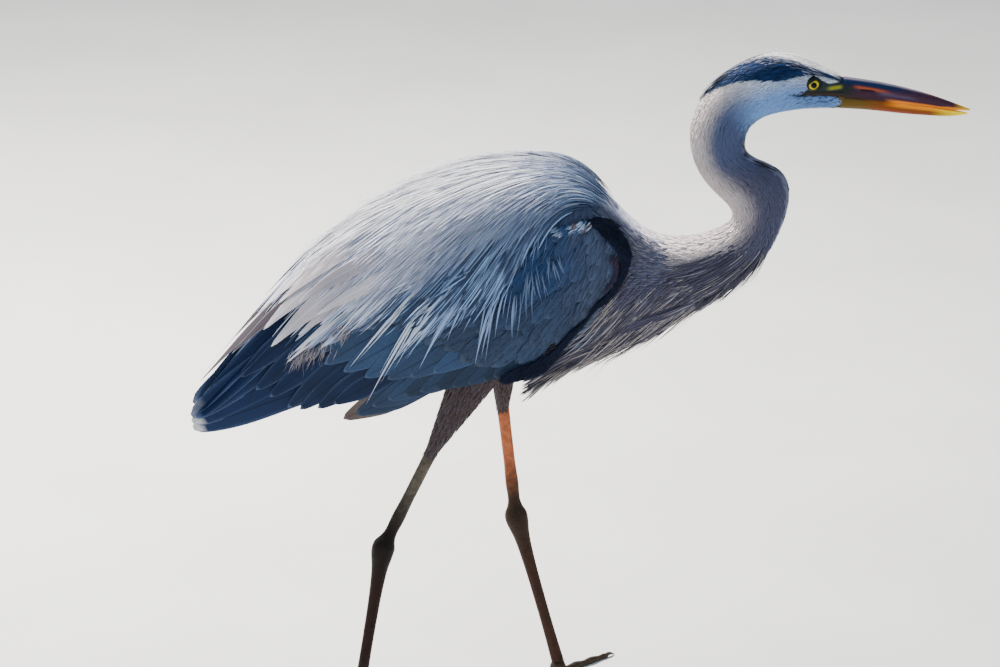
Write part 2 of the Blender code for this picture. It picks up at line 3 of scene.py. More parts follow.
import bpy
import numpy as np
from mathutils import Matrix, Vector


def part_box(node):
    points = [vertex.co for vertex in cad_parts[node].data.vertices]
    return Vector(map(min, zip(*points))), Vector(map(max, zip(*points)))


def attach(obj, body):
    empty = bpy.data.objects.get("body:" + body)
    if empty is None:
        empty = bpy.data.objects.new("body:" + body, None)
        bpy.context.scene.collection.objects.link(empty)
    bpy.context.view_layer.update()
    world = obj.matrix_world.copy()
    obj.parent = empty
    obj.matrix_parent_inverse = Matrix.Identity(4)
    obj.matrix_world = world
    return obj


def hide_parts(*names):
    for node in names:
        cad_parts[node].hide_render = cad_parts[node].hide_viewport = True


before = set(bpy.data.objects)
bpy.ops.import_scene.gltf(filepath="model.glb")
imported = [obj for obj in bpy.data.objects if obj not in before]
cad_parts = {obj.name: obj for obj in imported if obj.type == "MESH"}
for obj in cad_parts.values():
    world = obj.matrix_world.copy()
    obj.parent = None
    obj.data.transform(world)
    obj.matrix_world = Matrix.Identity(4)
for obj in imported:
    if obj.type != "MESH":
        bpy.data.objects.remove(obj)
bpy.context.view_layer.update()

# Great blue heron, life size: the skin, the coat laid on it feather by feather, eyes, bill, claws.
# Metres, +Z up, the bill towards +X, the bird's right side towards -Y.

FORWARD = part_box("bill_upper")[1][0] - 0.4242  # the frame's place of the bird along X
TAU = 2 * math.pi

# ---------------------------------------------------------------- measures shared with the solids
# Body stations from tail to bill base: back x, z, belly x, z, half width, egg shape.
BODY = np.array([
    (-0.326, 0.452, -0.292, 0.398, 0.018, 0.0), (-0.288, 0.507, -0.252, 0.374, 0.038, 0.0),
    (-0.240, 0.553, -0.205, 0.362, 0.056, 0.05), (-0.175, 0.594, -0.150, 0.362, 0.070, 0.10),
    (-0.100, 0.618, -0.088, 0.369, 0.077, 0.10), (-0.030, 0.623, -0.030, 0.393, 0.075, 0.08),
    (0.015, 0.600, 0.014, 0.411, 0.065, 0.05), (0.047, 0.567, 0.054, 0.432, 0.049, 0.0),
    (0.080, 0.541, 0.098, 0.451, 0.035, 0.0), (0.118, 0.5365, 0.140, 0.463, 0.028, 0.0),
    (0.146, 0.5435, 0.183, 0.490, 0.0240, 0.0), (0.164, 0.554, 0.212, 0.525, 0.0230, 0.0),
    (0.165, 0.568, 0.229, 0.575, 0.0230, 0.0), (0.150, 0.584, 0.220, 0.610, 0.0230, 0.0),
    (0.132, 0.606, 0.190, 0.626, 0.0225, 0.0), (0.121, 0.635, 0.1805, 0.642, 0.0220, 0.0),
    (0.122, 0.670, 0.186, 0.660, 0.0215, 0.0), (0.141, 0.705, 0.200, 0.672, 0.0210, 0.03),
    (0.176, 0.732, 0.221, 0.678, 0.0215, 0.08), (0.215, 0.7432, 0.241, 0.681, 0.0220, 0.10),
    (0.250, 0.735, 0.262, 0.6818, 0.0190, 0.08), (0.2862, 0.7174, 0.2868, 0.6816, 0.0122, 0.0)])
LAST = len(BODY) - 1  # the station at the bill's base
# The folded wings: x, height of the ridge, height of the lower edge, half width.
MANTLE = np.array([
    (-0.432, 0.347, 0.300, 0.034), (-0.372, 0.424, 0.308, 0.041), (-0.306, 0.505, 0.328, 0.052),
    (-0.250, 0.553, 0.345, 0.061), (-0.152, 0.607, 0.370, 0.079), (-0.054, 0.6265, 0.400, 0.087),
    (0.014, 0.605, 0.425, 0.079), (0.056, 0.561, 0.450, 0.059), (0.085, 0.538, 0.462, 0.034)])
ARCH_SHARE, ARCH_DROP, TUCK, RIDGE_GAP = 0.42, 0.30, 0.20, 0.0008
WING_TOP = ((0.022, 0.582), (-0.050, 0.592), (-0.120, 0.583), (-0.190, 0.557), (-0.264, 0.503))
WING_EDGE = ((0.030, 0.488), (-0.015, 0.444), (-0.080, 0.403), (-0.150, 0.426),
             (-0.225, 0.467), (-0.262, 0.497))
WING_BEND = 0.030
TAIL_EDGE = ((-0.274, 0.354), (-0.337, 0.336), (-0.372, 0.317), (-0.400, 0.311), (-0.424, 0.312))
KEEL_TOP = ((0.150, 0.480), (0.080, 0.462), (0.010, 0.435), (-0.046, 0.398))
KEEL_LOW = ((0.156, 0.466), (0.111, 0.4385), (0.046, 0.407), (-0.020, 0.380), (-0.055, 0.357))
EYE_X, EYE_Y, EYE_Z, EYE_RADIUS = 0.2530, 0.0128, 0.7130, 0.0092
# Bill halves: x, top, bottom, half width.
UPPER_BILL = ((0.2872, 0.7170, 0.6972, 0.0118), (0.3150, 0.7130, 0.6940, 0.0104),
              (0.3480, 0.7062, 0.6893, 0.0086), (0.3850, 0.6954, 0.6842, 0.0062),
              (0.4100, 0.6862, 0.6804, 0.0038), (0.4242, 0.6806, 0.6794, 0.0010))
LOWER_BILL = ((0.2872, 0.6969, 0.6816, 0.0108), (0.3150, 0.6937, 0.6797, 0.0096),
              (0.3480, 0.6890, 0.6760, 0.0080), (0.3850, 0.6832, 0.6731, 0.0056),
              (0.4050, 0.6792, 0.6727, 0.0036), (0.4215, 0.6764, 0.6748, 0.0010))
HIP_Y, SHANK_Y, ANKLE_Y, FOOT_Y, PAD_TOP = 0.040, 0.047, 0.052, 0.0545, 0.0165
# Per side: top of the thigh x, z, its half depth, top of the shank, ankle, foot.
LEGS = {
    -1: ((-0.098, 0.420), 0.031, (-0.1600, 0.3060), (-0.2156, 0.1925), (-0.2442, PAD_TOP)),
    1: ((-0.082, 0.420), 0.022, (-0.0835, 0.3250), (-0.0686, 0.1925), (-0.0210, PAD_TOP))}
SHANK_RADIUS = 0.0062
# Each toe's length, heading from straight ahead in degrees and claw length.
TOES = {"inner": (0.072, 45.0, 0.012), "middle": (0.092, 0.0, 0.015),
        "outer": (0.080, -45.0, 0.012), "hind": (0.044, 180.0, 0.019)}
TOE_RADIUS, PAD_REACH = 0.0048, 0.0092
SIDES = {-1: "right", 1: "left"}

# Feather and skin colours, linear. MAUVE, SLATE, SILVER and the face's blue white are darkened and
# blued as painted shade.
# PALE_MAUVE and LAVENDER are partly lightened as painted sunlight on the nape and back.
WHITE, SHADED_WHITE, BLACK = (0.92, 0.92, 0.93), (0.22, 0.40, 0.76), (0.003, 0.006, 0.018)
MAUVE, PALE_MAUVE, UMBER = (0.104, 0.096, 0.148), (0.80, 0.70, 0.68), (0.030, 0.029, 0.044)
SLATE, DEEP_SLATE, NAVY = (0.040, 0.082, 0.175), (0.012, 0.028, 0.068), (0.003, 0.012, 0.046)
LAVENDER, SILVER, PEARL = (0.55, 0.57, 0.72), (0.120, 0.180, 0.320), (0.84, 0.84, 0.90)
CREAM, RUFOUS, WARM = (0.60, 0.53, 0.48), (0.10, 0.032, 0.026), (0.43, 0.345, 0.37)
THIGH, ICE, GRAPHITE = (0.052, 0.033, 0.032), (0.36, 0.54, 0.86), (0.013, 0.022, 0.038)
OLIVE, LORE, LORE_GLINT_TINT = (0.014, 0.017, 0.012), (0.026, 0.040, 0.038), (0.42, 0.40, 0.02)


# ---------------------------------------------------------------- curves and surfaces
def spline(knots, values, at):
    """Natural cubic spline: on each span the two ends' heights and bends are blended by cubes."""
    knots, values, at = np.asarray(knots, float), np.asarray(values, float), np.asarray(at, float)
    rows = values.reshape(len(knots), -1)
    step = np.diff(knots)
    slope = np.diff(rows, axis=0) / step[:, None]
    inner = np.arange(1, len(knots) - 1)
    system, right = np.eye(len(knots)), np.zeros_like(rows)
    system[inner, inner - 1], system[inner, inner + 1] = step[:-1], step[1:]
    system[inner, inner] = 2 * (step[:-1] + step[1:])
    right[1:-1] = 6 * (slope[1:] - slope[:-1])
    bend = np.linalg.solve(system, right)
    k = np.clip(np.searchsorted(knots, at.ravel()) - 1, 0, len(step) - 1)
    h, a = step[k, None], (at.ravel() - knots[k])[:, None]
    b = h - a
    found = (bend[k] * b**3 / (6 * h) + bend[k + 1] * a**3 / (6 * h)
             + (rows[k] / h - bend[k] * h / 6) * b + (rows[k + 1] / h - bend[k + 1] * h / 6) * a)
    return found.reshape(at.shape + values.shape[1:])


def curve(points, at):
    """A spline through the points, read at shares of their chord length."""
    points = np.asarray(points, float)
    chord = np.linalg.norm(np.diff(points, axis=0), axis=1)
    return spline(np.concatenate([[0], np.cumsum(chord)]) / chord.sum(), points, at)


def unit(v):
    """Vectors brought to length 1."""
    return v / np.maximum(np.linalg.norm(v, axis=-1, keepdims=True), 1e-12)


def circle(count):
    """Angles spaced evenly round a turn."""
    return np.linspace(0, TAU, count, endpoint=False)


def grid(a, b):
    """Every pair of the two rows' values, as two tables."""
    return np.meshgrid(a, b, indexing="ij")


def ease(x, low, high):
    """0 below low, 1 above high, and 3t^2 - 2t^3 between."""
    t = np.clip((np.asarray(x, float) - low) / (high - low), 0, 1)
    return t * t * (3 - 2 * t)


def mix(a, b, share):
    """Colours a and b blended by share."""
    share = np.asarray(share, float)[..., None]
    return np.asarray(a, float) * (1 - share) + np.asarray(b, float) * share


def painted(base, *layers):
    """The base colour with others laid over it in turn, each blended in by its share."""
    for colour, share in layers:
        base = mix(base, colour, share)
    return base


def lattice(cells):
    """A random number in 0..1 for each whole-number cell: the fraction of a stirred sine."""
    stirred = np.sin(cells @ np.array([127.1, 311.7, 74.7])) * 43758.5453
    return stirred - np.floor(stirred)


def mottle(points, size, seed=0):
    """Smooth noise in 0..1 with lumps of a size: lattice numbers blended with 3t^2 - 2t^3."""
    at = np.asarray(points) / size + seed * 17.3
    low = np.floor(at)
    t = at - low
    t = t * t * (3 - 2 * t)
    total = 0
    for corner in np.ndindex(2, 2, 2):
        share = np.prod(np.where(np.array(corner) == 1, t, 1 - t), axis=-1)
        total = total + share * lattice(low + np.array(corner))
    return total


def body(s, a, lift=0.0):
    """The bird's body at station s, a radians round from the back line, raised by lift.

    Centre + up * depth cos(a), and half * sin(a) * (1 + egg cos(a) - egg sin(a)^2 / 2) across.
    """
    s, a = np.broadcast_arrays(np.asarray(s, float), np.asarray(a, float))
    rib = spline(np.arange(len(BODY)), BODY, s)
    back, belly = rib[..., 0:2], rib[..., 2:4]
    centre, up = (back + belly) / 2, (back - belly) / 2
    depth = np.linalg.norm(up, axis=-1) + lift
    up = unit(up)
    along = centre + up * (depth * np.cos(a))[..., None]
    egg = rib[..., 5]
    across = (rib[..., 4] + lift) * np.sin(a) * (1 + egg * np.cos(a) - 0.5 * egg * np.sin(a) ** 2)
    return np.stack([along[..., 0], across, along[..., 1]], -1)


def mantle_section(x):
    """Height of the mantle's ridge at x, the drop from there to its lower edge, its half width."""
    ridge, foot, half = np.moveaxis(spline(MANTLE[:, 0], MANTLE[:, 1:], x), -1, 0)
    return ridge, ridge - foot, half


def mantle(x, q):
    """The right side of the folded wings: a quarter ellipse over the back, then nearly straight
    down, leaning in by the tuck times the square of the share below the arch."""
    ridge, height, half = mantle_section(x)
    turn = np.minimum(q / ARCH_SHARE, 1) * math.pi / 2
    down = np.maximum(q - ARCH_SHARE, 0) / (1 - ARCH_SHARE)
    drop = ARCH_DROP * (1 - np.cos(turn)) + (1 - ARCH_DROP) * down
    reach = np.sin(turn) - TUCK * down**2
    return np.stack([x, -half * reach, ridge - height * drop], -1)


def mantle_normal(x, q):
    """Outward normal of the mantle: the cross product of its two small differences."""
    small = 1e-4
    low, high = np.maximum(q - small, 0), q + small
    along_x = mantle(x + small, q) - mantle(x - small, q)
    return unit(np.cross(mantle(x, high) - mantle(x, low), along_x))


def round_from(x, z):
    """The share q at which the mantle's side stands at height z."""
    ridge, height, _ = mantle_section(x)
    share = np.clip((ridge - z) / height, 0, None)
    turn = np.arccos(np.clip(1 - share / ARCH_DROP, 0, 1)) / (math.pi / 2)
    below = ARCH_SHARE + (1 - ARCH_SHARE) * (share - ARCH_DROP) / (1 - ARCH_DROP)
    return np.maximum(np.where(share < ARCH_DROP, turn * ARCH_SHARE, below), RIDGE_GAP)


def on_mantle(places, least=0.0):
    """Side-view places (x, z) as places (x, q) on the mantle, q being at least a given share."""
    x, z = places[..., 0], places[..., 1]
    return np.stack([x, np.maximum(round_from(x, z), least)], -1)


def edge(points, at):
    """A side-view curve (x, z) as places (x, q) on the mantle."""
    return on_mantle(curve(points, at))


def keel(at, turn, lift=0.0):
    """The hanging breast plumes' form: egg-shaped rings between its top and low curves."""
    at, turn = np.broadcast_arrays(np.asarray(at, float), np.asarray(turn, float))
    top, low = curve(KEEL_TOP, at), curve(KEEL_LOW, at)
    half = (0.006 + 0.028 * np.sin(math.pi * np.clip(at, 0, 1)) ** 0.7) * (1 - 0.35 * at) + lift
    middle, up = (top + low) / 2, (top - low) / 2
    depth = np.linalg.norm(up, axis=-1) + lift
    along = middle + unit(up) * (depth * np.cos(turn))[..., None]
    across = half * np.sin(turn) * (1 + 0.45 * np.cos(turn)) / 1.15
    return np.stack([along[..., 0], across, along[..., 1]], -1)


def square_to(surface, p, q, outwards=1):
    """Unit normals of a surface from small differences in its two parameters."""
    small = 1e-3
    return outwards * unit(np.cross(surface(p + small, q) - surface(p - small, q),
                                    surface(p, q + small) - surface(p, q - small)))


# ---------------------------------------------------------------- meshes
def put(name, points, faces, colours=None, bakes=None, vane=None, flat=None):
    """A mesh object from whole arrays: points, triangles or quads, and values at each point."""
    mesh = bpy.data.meshes.new(name)
    points = np.asarray(points, float).reshape(-1, 3) + (FORWARD, 0, 0)
    sides = faces.shape[1]
    mesh.vertices.add(len(points))
    mesh.vertices.foreach_set("co", points.astype(np.float32).ravel())
    mesh.loops.add(faces.size)
    mesh.loops.foreach_set("vertex_index", faces.astype(np.int32).ravel())
    mesh.polygons.add(len(faces))
    mesh.polygons.foreach_set("loop_start", np.arange(0, faces.size, sides, dtype=np.int32))
    mesh.update(calc_edges=True)
    corners = faces.ravel()
    if flat is not None:
        mesh.polygons.foreach_set("use_smooth", ~flat)
    if colours is not None:
        rgba = np.ones((len(corners), 4), np.float32)
        rgba[:, :3] = colours.reshape(-1, 3)[corners]
        mesh.attributes.new("coat", "FLOAT_COLOR", "CORNER").data.foreach_set("color", rgba.ravel())
    if vane is not None:
        values = vane.reshape(-1, 3).astype(np.float32)
        mesh.attributes.new("vane", "FLOAT_VECTOR", "POINT").data.foreach_set(
            "vector", values.ravel())
    if bakes is not None:
        layer = mesh.uv_layers.new(name="OFBake")
        layer.data.foreach_set("uv", bakes.reshape(-1, 2)[corners].astype(np.float32).ravel())
    made = bpy.data.objects.new(name, mesh)
    bpy.context.scene.collection.objects.link(made)
    return made


def tube_faces(count, around):
    """Quads of a stack of closed rings: ring i, place j joined to ring i + 1, place j + 1."""
    i, j = grid(np.arange(count - 1), np.arange(around))
    k = (j + 1) % around
    return np.stack([i * around + j, i * around + k, (i + 1) * around + k, (i + 1) * around + j],
                    -1).reshape(-1, 4)


def halved(quads):
    """Each quad as two triangles."""
    return np.concatenate([quads[:, [0, 1, 2]], quads[:, [0, 2, 3]]])


def grid_bakes(rows, columns):
    """An unwrap of a tube: its length up, its girth across."""
    return np.stack(grid(np.linspace(0.01, 0.99, rows), np.linspace(0.01, 0.99, columns)),
                    -1)[..., ::-1]


def loft(name, rings, colours, inwards=False, bakes=None):
    """A closed tube through rings, each end drawn in to a point by a fan."""
    count, around = rings.shape[:2]
    bakes = grid_bakes(count, around) if bakes is None else bakes
    j = np.arange(around)
    k = (j + 1) % around
    first = count * around
    tris = np.concatenate([
        halved(tube_faces(count, around)), np.stack([k, j, np.full(around, first)], -1),
        np.stack([first - around + j, first - around + k, np.full(around, first + 1)], -1)])
    if inwards:
        tris = tris[:, ::-1]
    points, colours, bakes = (
        np.concatenate([v.reshape(-1, v.shape[-1]), v[:1].mean(1), v[-1:].mean(1)])
        for v in (rings, np.broadcast_to(colours, rings.shape), bakes))
    return put(name, points, tris, colours, bakes)


def joined(base, others):
    """The union of closed shells as one mesh, base first. The others are used up."""
    for other in others:
        step = base.modifiers.new("with " + other.name, "BOOLEAN")
        step.operation, step.solver, step.object = "UNION", "EXACT", other
    bpy.context.view_layer.update()
    mesh = bpy.data.meshes.new_from_object(
        base.evaluated_get(bpy.context.evaluated_depsgraph_get()), preserve_all_data_layers=True,
        depsgraph=bpy.context.evaluated_depsgraph_get())
    base.modifiers.clear()
    base.data = mesh
    for other in others:
        bpy.data.objects.remove(other)
    return base


def spread(count, start=0.5):
    """Evenly scattered pairs in the unit square: steps of the plastic number's inverse powers."""
    k = np.arange(1, count + 1)[:, None]
    g = 1.324717957244746
    return (start + k * np.array([1 / g, 1 / g**2])) % 1


def scatter(surface, p_range, q_range, count, start=0.5):
    """Pairs (p, q) spread evenly over the surface's area: its cumulative area read backwards."""
    cells = 160
    p, q = np.linspace(*p_range, cells), np.linspace(*q_range, cells)
    points = surface(*grid(p, q))
    area = np.linalg.norm(
        np.cross(np.gradient(points, axis=0), np.gradient(points, axis=1)), axis=-1)
    area += 1e-12
    rows = area.sum(1)
    total = np.concatenate([[0], np.cumsum((rows[1:] + rows[:-1]) / 2)])
    pair = spread(count, start)
    found_p = np.interp(pair[:, 0] * total[-1], total, p)
    row = np.clip(np.rint((found_p - p[0]) / (p[1] - p[0])).astype(int), 0, cells - 1)
    part = np.cumsum(area, axis=1)
    part = (part - part[:, :1]) / (part[:, -1:] - part[:, :1])
    flat = (part + 2 * np.arange(cells)[:, None]).ravel()
    return found_p, np.interp(pair[:, 1] + 2 * row, flat, np.tile(q, cells))


# ---------------------------------------------------------------- materials
class Nodes:
    """Short names for making and joining shader nodes. An input is given by its name, or by its
    place as _0, _1 and so on."""

    def __init__(self, name):
        self.material = bpy.data.materials.new(name)
        self.material.use_nodes = True
        self.tree = self.material.node_tree
        self.shader = self.tree.nodes["Principled BSDF"]

    def add(self, kind, settings=None, **inputs):
        node = self.tree.nodes.new(kind)
        for key, value in (settings or {}).items():
            setattr(node, key, value)
        for key, value in inputs.items():
            self.feed(node.inputs[int(key[1:])] if key[0] == "_" else node.inputs[key], value)
        return node

    def feed(self, socket, value):
        if isinstance(value, bpy.types.NodeSocket):
            self.tree.links.new(value, socket)
        else:
            socket.default_value = value

    def maths(self, operation, a, b=0.0, c=0.0):
        return self.add("ShaderNodeMath", {"operation": operation}, _0=a, _1=b, _2=c).outputs[0]

    def blend(self, share, a, b):
        return self.add("ShaderNodeMix", {"data_type": "RGBA"}, _0=share, _6=a, _7=b).outputs[2]

    def ramp(self, value, low, high, start=0.0, end=1.0):
        return self.add("ShaderNodeMapRange", {"interpolation_type": "SMOOTHSTEP"}, _0=value,
                        _1=low, _2=high, _3=start, _4=end).outputs[0]

    def coat(self):
        return self.add("ShaderNodeAttribute", {"attribute_name": "coat"}).outputs["Color"]

    def place(self):
        return self.add("ShaderNodeTexCoord").outputs["Object"]

    def noise(self, where, scale, detail):
        return self.add("ShaderNodeTexNoise", Vector=where, Scale=scale, Detail=detail).outputs[0]

    def scaled(self, colour, by):
        return self.add("ShaderNodeVectorMath", {"operation": "SCALE"}, _0=colour,
                        Scale=by).outputs[0]

    def bump(self, height, strength, distance):
        made = self.add("ShaderNodeBump", Height=height, Strength=strength, Distance=distance)
        self.feed(self.shader.inputs["Normal"], made.outputs[0])

    def set(self, **values):
        for key, value in values.items():
            self.feed(self.shader.inputs[key.replace("_", " ")], value)
        return self.material


def plumage(name, roughness, sheen, barb_step=1.2, streak=0.35, shaft=0.0, shaft_tint=0.35,
            gloss=0.22):
    """Feather finish: the coat's colour with barbs slanting off the shaft.

    vane holds the share across (-1 to 1), the millimetres along, and a number of its own.
    """
    n = Nodes(name)
    coat = n.coat()
    vane = n.add("ShaderNodeAttribute", {"attribute_name": "vane"}).outputs["Vector"]
    x, y, z = n.add("ShaderNodeSeparateXYZ", _0=vane).outputs
    off = n.maths("ABSOLUTE", x)
    slant = n.maths("MULTIPLY_ADD", off, -3.5, y)
    barb = n.maths("SINE", n.maths("MULTIPLY", slant, TAU / barb_step))
    place = n.add("ShaderNodeCombineXYZ", _0=n.maths("MULTIPLY", x, 1.3),
                  _1=n.maths("MULTIPLY", slant, 0.55), _2=n.maths("MULTIPLY", z, 91.0)).outputs[0]
    lumps = n.noise(place, 2.2, 3.0)
    tone = n.ramp(lumps, 0.3, 0.7, 1 - streak, 1 + streak)
    colour = n.scaled(coat, n.maths("MULTIPLY", tone, n.maths("MULTIPLY_ADD", barb, 0.07, 1.0)))
    if shaft:
        colour = n.blend(n.ramp(off, 0.03, 0.10, shaft, 0.0), colour, n.scaled(coat, shaft_tint))
    n.bump(barb, 0.16, 0.0002)
    rough = n.ramp(lumps, 0.2, 0.8, roughness - 0.08, roughness + 0.08)
    return n.set(Base_Color=colour, Roughness=rough, Sheen_Weight=sheen, Sheen_Roughness=0.4,
                 Specular_IOR_Level=gloss)


def bare_skin(name, roughness, scale, depth):
    """Scaly skin: the coat's colour darkened between cells, which also dent the surface."""
    n = Nodes(name)
    where = n.place()
    cells = n.add("ShaderNodeTexVoronoi", {"feature": "DISTANCE_TO_EDGE"}, Vector=where,
                  Scale=scale).outputs["Distance"]
    lumps = n.noise(where, 160.0, 4.0)
    tone = n.maths("MULTIPLY", n.ramp(lumps, 0.25, 0.75, 0.75, 1.3),
                   n.ramp(cells, 0.0, 0.10, 0.6, 1.0))
    n.bump(n.ramp(cells, 0.0, 0.12), 0.5, depth)
    rough = n.ramp(lumps, 0.3, 0.7, roughness - 0.1, roughness + 0.12)
    return n.set(Base_Color=n.scaled(n.coat(), tone), Roughness=rough, Specular_IOR_Level=0.11)


def horn(name, roughness, stretch, gloss):
    """Bill and claw horn: the coat's colour with fine growth lines, stretched as given."""
    n = Nodes(name)
    lines = n.noise(n.add("ShaderNodeMapping", Vector=n.place(), Scale=stretch).outputs[0],
                    1.0, 4.0)
    n.bump(lines, 0.12, 0.0002)
    rough = n.ramp(lines, 0.3, 0.7, roughness - 0.06, roughness + 0.10)
    return n.set(Base_Color=n.scaled(n.coat(), n.ramp(lines, 0.3, 0.7, 0.90, 1.10)),
                 Roughness=rough, Coat_Weight=gloss, Coat_Roughness=0.25, Specular_IOR_Level=0.16)


def eye_finish():
    """Wet eye: the coat's colour broken by fine lumps, under a clear coat."""
    n = Nodes("wet eye")
    tone = n.ramp(n.noise(n.place(), 900.0, 2.0), 0.3, 0.7, 0.85, 1.15)
    return n.set(Base_Color=n.scaled(n.coat(), tone), Roughness=0.12, Specular_IOR_Level=0.10,
                 Coat_Weight=0.12, Coat_Roughness=0.03)


SOFT = plumage("soft small feathers", 0.80, 0.06, streak=0.08)
HAIR = plumage("hair-like plumes", 0.74, 0.06, streak=0.22)
DARK = plumage("black feathers", 0.66, 0.0, streak=0.25, gloss=0.10)
PLUME = plumage("lance-shaped plumes", 0.66, 0.05, barb_step=1.4, streak=0.16, shaft=0.45,
                shaft_tint=1.35)
COVERT = plumage("wing coverts", 0.70, 0.02, barb_step=1.3, streak=0.16, gloss=0.14)
TERTIAL = plumage("worn tertials", 0.66, 0.05, barb_step=1.6, streak=0.12, shaft=0.8,
                  shaft_tint=1.45)
VANE = plumage("broad vanes", 0.60, 0.0, barb_step=1.6, streak=0.16, shaft=0.6, shaft_tint=0.35,
               gloss=0.12)
UNDERCOAT = plumage("down-covered skin", 0.85, 0.05, streak=0.2)
SCALES = bare_skin("scaly leg skin", 0.48, 420.0, 0.0005)


def finish(obj, material, slot, *nodes):
    """Gives a piece its material and its body and hides the solids that it stands for; slot is not
    used.
    """
    obj.data.materials.clear()
    obj.data.materials.append(material)
    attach(obj, "root")
    if nodes:
        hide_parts(*nodes)
    return obj


# ---------------------------------------------------------------- feathers
def outline(t, root, peak, tip):
    """Half width of a feather along its length: root at 0, 1 at peak, tip at the end, rounded."""
    rise = root + (1 - root) * np.sin(np.clip(t / peak, 0, 1) * math.pi / 2)
    fall = np.clip((t - peak) / (1 - peak), 0, 1)
    return np.where(t < peak, rise, tip + (1 - tip) * np.sqrt(np.clip(1 - fall**2, 0, 1)))


def across_places(across):
    """Places across a vane from -1 to 1, closer together by its edges: the sine of even angles."""
    return np.sin(np.linspace(-math.pi / 2, math.pi / 2, across))


def feathers(name, path, normal, half, tint, seat, own, across=3, camber=0.30, patch=0.003):
    """Closed solid vanes, all at once. Each is a centreline with a low arched cross-section:
    point = centre + beside * half * c + normal * camber * half * (1 - c^2), flat below.

    path, normal: feather, step, xyz. half: feather, step. tint: feather, (step, (across,)) rgb.
    """
    count, steps = path.shape[:2]
    ahead = unit(np.gradient(path, axis=1))
    normal = unit(normal - ahead * (normal * ahead).sum(-1, keepdims=True))
    beside = np.cross(ahead, normal)
    c = across_places(across)
    points = (path[:, :, None] + beside[:, :, None] * (half[..., None] * c)[..., None]
              + normal[:, :, None] * (half[..., None] * camber * (1 - c**2))[..., None])
    quads = tube_faces(steps, across)
    under = np.arange(len(quads)) % across == across - 1
    fan = np.arange(1, across - 1)
    zero, end = np.zeros_like(fan), (steps - 1) * across
    one = np.concatenate([halved(quads), np.stack([zero, fan + 1, fan], -1),
                          np.stack([zero + end, fan + end, fan + end + 1], -1)])
    flat = np.concatenate([under, under, np.ones(2 * len(fan), bool)])
    faces = (one[None] + (np.arange(count) * steps * across)[:, None, None]).reshape(-1, 3)
    while tint.ndim < 4:
        tint = tint[..., None, :]
    tint = np.broadcast_to(tint, (count, steps, across, 3))
    length = np.linalg.norm(np.diff(path, axis=1), axis=-1)
    length = np.concatenate([np.zeros((count, 1)), np.cumsum(length, axis=1)], axis=1) * 1000
    vane = np.stack(np.broadcast_arrays(c, length[..., None], own[:, None, None]), -1)
    t = np.linspace(0, 1, steps)
    local = np.stack(np.broadcast_arrays((c + 1) / 2, t[:, None]), -1) * patch
    bakes = seat[:, None, None] + local[None]
    return put(name, points, faces, np.ascontiguousarray(tint), bakes, vane, np.tile(flat, count))


def both_sides(name, path, normal, half, tint, seat, own, *shape, kept=slice(None), **options):
    """Feathers of the right side and their mirror images: y and the normal's y change sign.

    seat already has a row for each feather of both sides. kept picks some of them all.
    """
    flip = np.array([1, -1, 1])
    path, normal, half, tint, own = (
        np.concatenate(pair)[kept] for pair in
        ((path, path * flip), (normal, normal * flip), (half, half), (tint, tint), (own, own)))
    return feathers(name, path, normal, half, tint, seat[kept], own, *shape, **options)


def seats(p, q, pair=False):
    """Bake places from two shares in 0..1, off the border; with pair, the left side's follow."""
    seat = np.stack([np.clip(p, 0, 1) * 0.99, np.clip(q, 0, 1) * 0.99], -1)
    return np.concatenate([seat * (0.49, 1), seat * (0.49, 1) + (0.5, 0)]) if pair else seat


def laid(places, lifts):
    """Points and normals on the mantle's right side at (x, q), raised by lifts."""
    x, q = places[..., 0], places[..., 1]
    normal = mantle_normal(x, q)
    return mantle(x, q) + normal * lifts[..., None], normal


def swept(x, q, length, steps):
    """Feather centrelines on the mantle: small steps, each turned down from straight back."""
    places = np.empty((len(x), steps, 2))
    step, small = length / (steps - 1), 1e-4
    for i in range(steps):
        places[:, i, 0], places[:, i, 1] = x, q
        here, side, down = mantle(x, q), mantle(x + small, q), mantle(x, q + small)
        per_x = np.linalg.norm(side - here, axis=-1) / small
        per_q = np.linalg.norm(down - here, axis=-1) / small
        angle = back_slope(x, q)
        x = x - step * np.cos(angle) / per_x
        q = np.maximum(q + step * np.sin(angle) / per_q, RIDGE_GAP)
    return places


def on_body(name, s, a, length, width, lays, tint, steps=4, across=3, turn=None, keep=None,
            camber=0.30, taper=(0.35, 0.45, 0.10), root_shade=1.0):
    """Short feathers on the body from roots (s, a), each running towards the tail."""
    small = 1e-3
    per_s = np.linalg.norm(body(s + small, a) - body(s - small, a), axis=-1) / (2 * small)
    per_a = np.linalg.norm(body(s, a + small) - body(s, a - small), axis=-1) / (2 * small)
    t = np.linspace(0, 1, steps)
    veer = np.zeros_like(s) if turn is None else turn
    along = np.clip(s[:, None] - (length * np.cos(veer) / per_s)[:, None] * t, 0.0, LAST)
    round_ = a[:, None] + (length * np.sin(veer) / np.maximum(per_a, 0.004))[:, None] * t
    lift = lays[0] + (lays[1] - lays[0]) * t**1.3
    path = body(along, round_, lift)
    normal = square_to(body, along, round_)
    if keep is not None:
        kept = keep(path)
        path, normal, tint, length, width, s, a = (
            v[kept] for v in (path, normal, tint, length, width, s, a))
    half = width[:, None] * outline(t, *taper)
    own = lattice(np.stack([s * 13.1, a * 7.7, s - a], -1))
    # Each feather is darker towards its root: painted shade where it lies under the ones before it.
    shade = tint[:, None] * (root_shade + (1 - root_shade) * t)[None, :, None]
    return feathers(name, path, normal, half, shade, seats((a / TAU) % 1, s / LAST), own, across,
                    camber)
